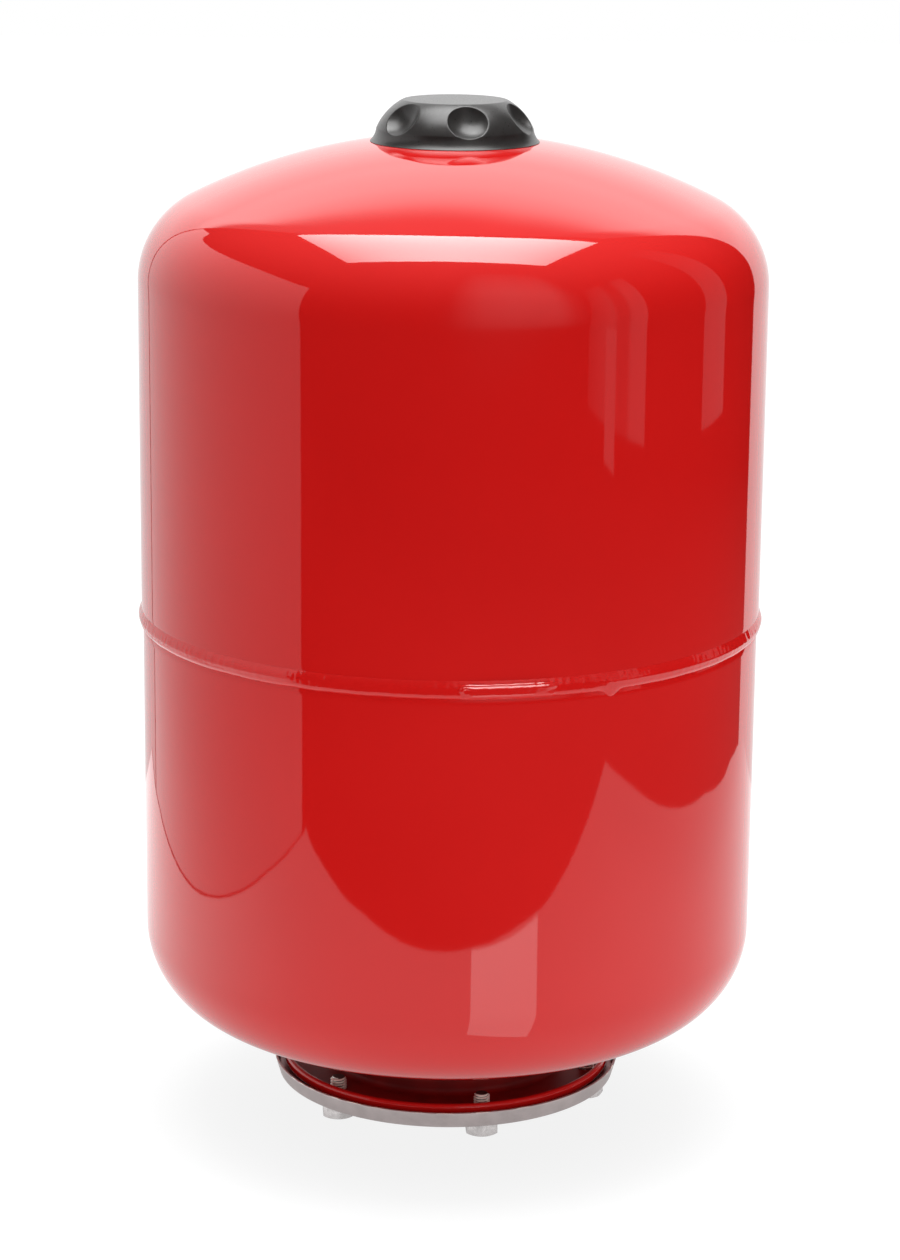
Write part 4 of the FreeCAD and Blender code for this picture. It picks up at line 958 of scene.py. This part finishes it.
def screen_level(spot):
    depth = 0.70 + 0.45 * eased(spot.y, -0.7, 0.7)
    return depth + 0.92 * max(spot.z - 0.3, 0) + 0.15 * eased(-spot.z, 0, 0.15)


light_panel("left_screen", screen_place, screen_level, 34, 30)


# Backdrop: lit from above, so that it is brightest high up and fades out over the lamp.
def backdrop_place(u, v):
    height = along(v, (0, -0.5), (1, 2.4))
    return along(u, (0, -0.83), (1, along(height, (0.3, 0.983), (1.2, 0.93)))), 0.95, height


def backdrop_level(spot):
    fade = along(spot.x, (-0.84, 1.213), (-0.72, 1.274), (-0.6, 1.371), (-0.48, 1.579), (-0.36, 1.692),
                 (-0.24, 1.752), (0, 1.801), (0.24, 1.843), (0.48, 1.763), (0.72, 1.673))
    height = spot.z if spot.z < 1 else 1 + (spot.z - 1) * 0.801 / (fade - 1)
    sides = 0.2 * (spot.x / 0.83) ** 2 * (1 - eased(spot.z, 0.4, 0.9))
    return sides + along(height, (0.1, 0.93), (0.3, 1.03), (0.5, 1.15), (0.7, 1.5), (1.0, 1.67),
                         (1.1, 1.95), (1.4, 2.26), (1.6, 2.04), (1.7, 1.73), (1.8, 1.25), (1.9, 0.88),
                         (2.0, 0.61), (2.1, 0.53))


light_panel("backdrop_glow", backdrop_place, backdrop_level, 30, 58)


# Softbox overhead: brightest in its middle.
def softbox_place(u, v):
    left = along(v, (0, -0.45), (1, -0.43))
    right = along(v, (0, 0.39), (1, 0.42))
    front = along(u, (0, -0.31), (1, -0.35))
    back = along(u, (0, 0.337), (1, 0.20))
    return along(u, (0, left), (1, right)), along(v, (0, front), (1, back)), 1.2


light_panel("overhead_softbox", softbox_place, lambda spot: 12.2 - 5.2 * (spot.x / 0.4) ** 2, 16, 2)


# Table: its reflection shows its slightly wavy edges, a dark line along its left one, the tank's shadow
# and the patch of light that comes in over its front edge.
def table_left(y):
    return along(y, (-0.45, -0.507), (-0.263, -0.512), (-0.113, -0.499), (0.037, -0.485), (0.187, -0.476),
                 (0.337, -0.461), (0.412, -0.445))


def table_place(u, v):
    about = along(u, (0, -0.505), (1, 0.67))
    front = along(about, (-0.463, -0.452), (-0.388, -0.465), (-0.313, -0.473), (-0.238, -0.486),
                  (0.062, -0.494), (0.137, -0.491), (0.212, -0.488), (0.287, -0.477), (0.662, -0.475))
    y = along(v, (0, front), (1, 0.513))
    right = along(y, (-0.475, 0.668), (-0.388, 0.678), (-0.313, 0.684), (-0.238, 0.683),
                  (-0.163, 0.677), (-0.013, 0.671), (0.137, 0.662), (0.212, 0.638), (0.287, 0.618),
                  (0.362, 0.61), (0.512, 0.542))
    return along(u, (0, table_left(y)), (1, right)), y, -0.0004


def table_level(spot):
    lit = 1.05 + 0.6 * eased(-spot.x, 0.1, 0.4) * eased(spot.y, -0.45, 0)
    lit += 0.2 * eased(spot.x, 0.1, 0.35) * (1 - eased(spot.x, 0.45, 0.65)) * eased(spot.y, -0.48, -0.2)
    return lit * (0.5 + 0.5 * eased(math.hypot(spot.x, spot.y), 0.05, 0.2))


light_panel("table_glow", table_place, table_level, 64, 56)
light_panel("table_edge", lambda u, v: (table_left(v - 0.49) - 0.005 * (1 - u), v - 0.487, -0.0003),
            lambda spot: 0.02, 1, 40)


def patch_place(u, v):
    far_end = Vector((0.066 + 0.199 * u, -0.489 + 0.015 * u, -0.0002))
    near_end = Vector((0.0235 + 0.0575 * u, -0.233 + 0.038 * u, -0.0002))
    return far_end.lerp(near_end, v)


light_panel("table_patch", patch_place, lambda spot: along(spot.y, (-0.48, 2.9), (-0.22, 2.4)), 2, 6)


# Table's own light: what it gives back to the paint, less of it where the tank shades it.
def bounce_level(spot):
    return 1.78 * (0.15 + 0.85 * eased(math.hypot(spot.x, spot.y), 0.06, 0.3))


table_bounce = light_panel("table_bounce", lambda u, v: (-0.5 + 1.16 * u, -0.48 + 0.99 * v, 0.0002),
                           bounce_level, 46, 40)
table_bounce.visible_glossy = False
table_bounce.visible_diffuse = True


# Dim room: the wall beyond the camera, with a soft light on its right, and two windows to the right.
def room_seen(spot):
    """How bright the room is beyond a spot, as the tank's upper wall mirrors it."""
    return 0.012 + 0.5 * max((spot - Vector((0, 0, 0.3))).normalized().z, 0) ** 2.3


def room_light(spot):
    glow = along(spot.x, (-0.25, 0), (-0.05, 0.1), (0.3, 0.75), (0.6, 0.9), (1.2, 0.8), (1.5, 0.25),
                 (1.9, 0))
    glow *= along(spot.z, (0.1, 0), (0.3, 0.42), (0.7, 0.7), (1.3, 0.9), (1.5, 1.0), (2.3, 0.75),
                  (3.0, 0.5), (3.6, 0))
    return max(glow, room_seen(spot))


light_panel("room_light", lambda u, v: (-0.3 + 2.3 * u, -1.6, 0.02 + 3.6 * v), room_light, 46, 60)


def near_window(u, v):
    return 0.9, along(v, (0, -0.86), (1, -0.80)) * (1 - u) - 0.365 * u, 0.15 + 0.02 * u + 0.9 * v


def near_window_level(spot):
    panes = along(spot.y, (-0.85, 0.15), (-0.63, 0.42), (-0.59, 0.2), (-0.51, 0.2), (-0.48, 0.48),
                  (-0.36, 0.5))
    return panes * along(spot.z, (0.8, 1), (1.05, 0.7))


light_panel("window_near", near_window, near_window_level, 32, 8)
light_panel("window_spot", lambda u, v: (0.899, -0.69 + 0.09 * u, 0.13 + 0.11 * v), lambda spot: 0.55)
light_panel("window_far", lambda u, v: (0.9, 0.075 + 0.215 * u, 0.185 + 1.315 * v),
            lambda spot: max(along(spot.z, (0.185, 0.38), (0.85, 0.33), (1.5, 0.3)), room_seen(spot)),
            1, 14)

# Floor: white to the camera, whiter further out, with the tank's soft shadow, and clear from below.
ground_mesh = bmesh.new()
bmesh.ops.create_grid(ground_mesh, x_segments=1, y_segments=1, size=6, matrix=TURN)
ground = bpy.data.materials.new("studio_floor")
ground.use_nodes = True
nodes, links = ground.node_tree.nodes, ground.node_tree.links
nodes.remove(nodes["Principled BSDF"])
rays = nodes.new("ShaderNodeLightPath")
seen_or_not = nodes.new("ShaderNodeMixShader")
links.new(rays.outputs["Is Camera Ray"], seen_or_not.inputs["Fac"])
SEEN_GLOW, SEEN_GLOW_FAR = 0.82, 0.97
for socket, paint, own_light in ((1, 0.6, 0.15), (2, 0.2, SEEN_GLOW)):
    shade = nodes.new("ShaderNodeBsdfDiffuse")
    shade.inputs["Color"].default_value = (paint, paint, paint, 1)
    white = nodes.new("ShaderNodeEmission")
    white.inputs["Strength"].default_value = own_light
    both = nodes.new("ShaderNodeAddShader")
    links.new(shade.outputs["BSDF"], both.inputs[0])
    links.new(white.outputs["Emission"], both.inputs[1])
    links.new(both.outputs["Shader"], seen_or_not.inputs[socket])
place = nodes.new("ShaderNodeTexCoord")
from_middle = nodes.new("ShaderNodeVectorMath")
from_middle.operation = "LENGTH"
links.new(place.outputs["Object"], from_middle.inputs[0])
whiter = spread(ground, from_middle.outputs["Value"], 0.3, 1.2, SEEN_GLOW, SEEN_GLOW_FAR)
links.new(whiter, white.inputs["Strength"])
sides = nodes.new("ShaderNodeNewGeometry")
clear = nodes.new("ShaderNodeBsdfTransparent")
one_sided = nodes.new("ShaderNodeMixShader")
links.new(sides.outputs["Backfacing"], one_sided.inputs["Fac"])
links.new(seen_or_not.outputs["Shader"], one_sided.inputs[1])
links.new(clear.outputs["BSDF"], one_sided.inputs[2])
links.new(one_sided.outputs["Shader"], nodes["Material Output"].inputs["Surface"])
studio_floor = made(ground_mesh, "studio_floor", ground)
studio_floor.visible_glossy = False

# World: white to the camera, the dim room to reflections, and for everything else soft, a little
# stronger from the front and right.
SKY_LIGHT = 0.56
world = bpy.data.worlds.new("studio")
bpy.context.scene.world = world
world.use_nodes = True
nodes, links = world.node_tree.nodes, world.node_tree.links
rays = nodes.new("ShaderNodeLightPath")
compass = nodes.new("ShaderNodeTexCoord")
facing = nodes.new("ShaderNodeMapping")
facing.vector_type = "TEXTURE"
facing.inputs["Rotation"].default_value = (0, 0, math.radians(CAMERA_TURN))
split = nodes.new("ShaderNodeSeparateXYZ")
links.new(compass.outputs["Generated"], facing.inputs["Vector"])
links.new(facing.outputs["Vector"], split.inputs["Vector"])


def reckon(operation, first, second, third=0.0):
    """Adds a sum to the world's nodes; each term is a number or an output."""
    step = nodes.new("ShaderNodeMath")
    step.operation = operation
    for index, term in enumerate((first, second, third)):
        if isinstance(term, float):
            step.inputs[index].default_value = term
        else:
            links.new(term, step.inputs[index])
    return step.outputs["Value"]


upward = reckon("MAXIMUM", split.outputs["Z"], 0.0)
room_above = reckon("MULTIPLY_ADD", reckon("POWER", upward, 2.3), 0.5, 0.012)
lowness = nodes.new("ShaderNodeMapRange")
lowness.inputs["From Min"].default_value = -0.2
lowness.inputs["From Max"].default_value = -0.26
links.new(split.outputs["Z"], lowness.inputs["Value"])
room_below = reckon("MULTIPLY_ADD", split.outputs["X"], 0.07, 0.055)
room_below = reckon("MULTIPLY_ADD", room_below, lowness.outputs["Result"], 0.01)
is_below = reckon("LESS_THAN", split.outputs["Z"], 0.0)
room = reckon("ADD", reckon("MULTIPLY", is_below, room_below),
              reckon("MULTIPLY", reckon("SUBTRACT", 1.0, is_below), room_above))
even = reckon("MULTIPLY_ADD", split.outputs["X"], 0.27, SKY_LIGHT)
even = reckon("MULTIPLY_ADD", split.outputs["Y"], -0.32, even)
sky = nodes["Background"]
sky.inputs["Color"].default_value = (1, 1, 1, 1)
links.new(even, sky.inputs["Strength"])
dim = nodes.new("ShaderNodeBackground")
dim.inputs["Color"].default_value = (1.0, 0.95, 0.92, 1)
links.new(room, dim.inputs["Strength"])
seen = nodes.new("ShaderNodeBackground")
seen.inputs["Color"].default_value = (1, 1, 1, 1)
seen.inputs["Strength"].default_value = 1.0
for_gloss = nodes.new("ShaderNodeMixShader")
for_camera = nodes.new("ShaderNodeMixShader")
links.new(rays.outputs["Is Glossy Ray"], for_gloss.inputs["Fac"])
links.new(sky.outputs["Background"], for_gloss.inputs[1])
links.new(dim.outputs["Background"], for_gloss.inputs[2])
links.new(rays.outputs["Is Camera Ray"], for_camera.inputs["Fac"])
links.new(for_gloss.outputs["Shader"], for_camera.inputs[1])
links.new(seen.outputs["Background"], for_camera.inputs[2])
links.new(for_camera.outputs["Shader"], nodes["World Output"].inputs["Surface"])

# Lamp overhead, which brightens the dome.
lamp = bpy.data.lights.new("soft_lamp", "AREA")
lamp.shape = "RECTANGLE"
lamp.size = 1.4
lamp.size_y = 1.2
lamp.energy = 39
lamp_object = bpy.data.objects.new("soft_lamp", lamp)
lamp_object.matrix_world = TURN @ Matrix.Translation((0, -0.1, 2.0))
lamp_object.visible_glossy = False
lamp_object.visible_camera = False
bpy.context.scene.collection.objects.link(lamp_object)

# Camera: at the photograph's height and turn, looking a little down.
CAMERA_AWAY = 1.54365
CAMERA_UP = 0.625
CAMERA_PITCH = 0.24999
CAMERA_ROLL = 0.00993
camera = bpy.data.objects.new("camera", bpy.data.cameras.new("camera"))
camera.data.lens = 99.78
camera.data.sensor_width = 36
camera.matrix_world = (TURN @ Matrix.Translation((0, -CAMERA_AWAY, CAMERA_UP))
                       @ Matrix.Rotation(math.pi / 2 - CAMERA_PITCH, 4, "X")
                       @ Matrix.Rotation(CAMERA_ROLL, 4, "Z"))
bpy.context.scene.collection.objects.link(camera)
bpy.context.scene.camera = camera
bpy.context.scene.view_settings.view_transform = "Standard"
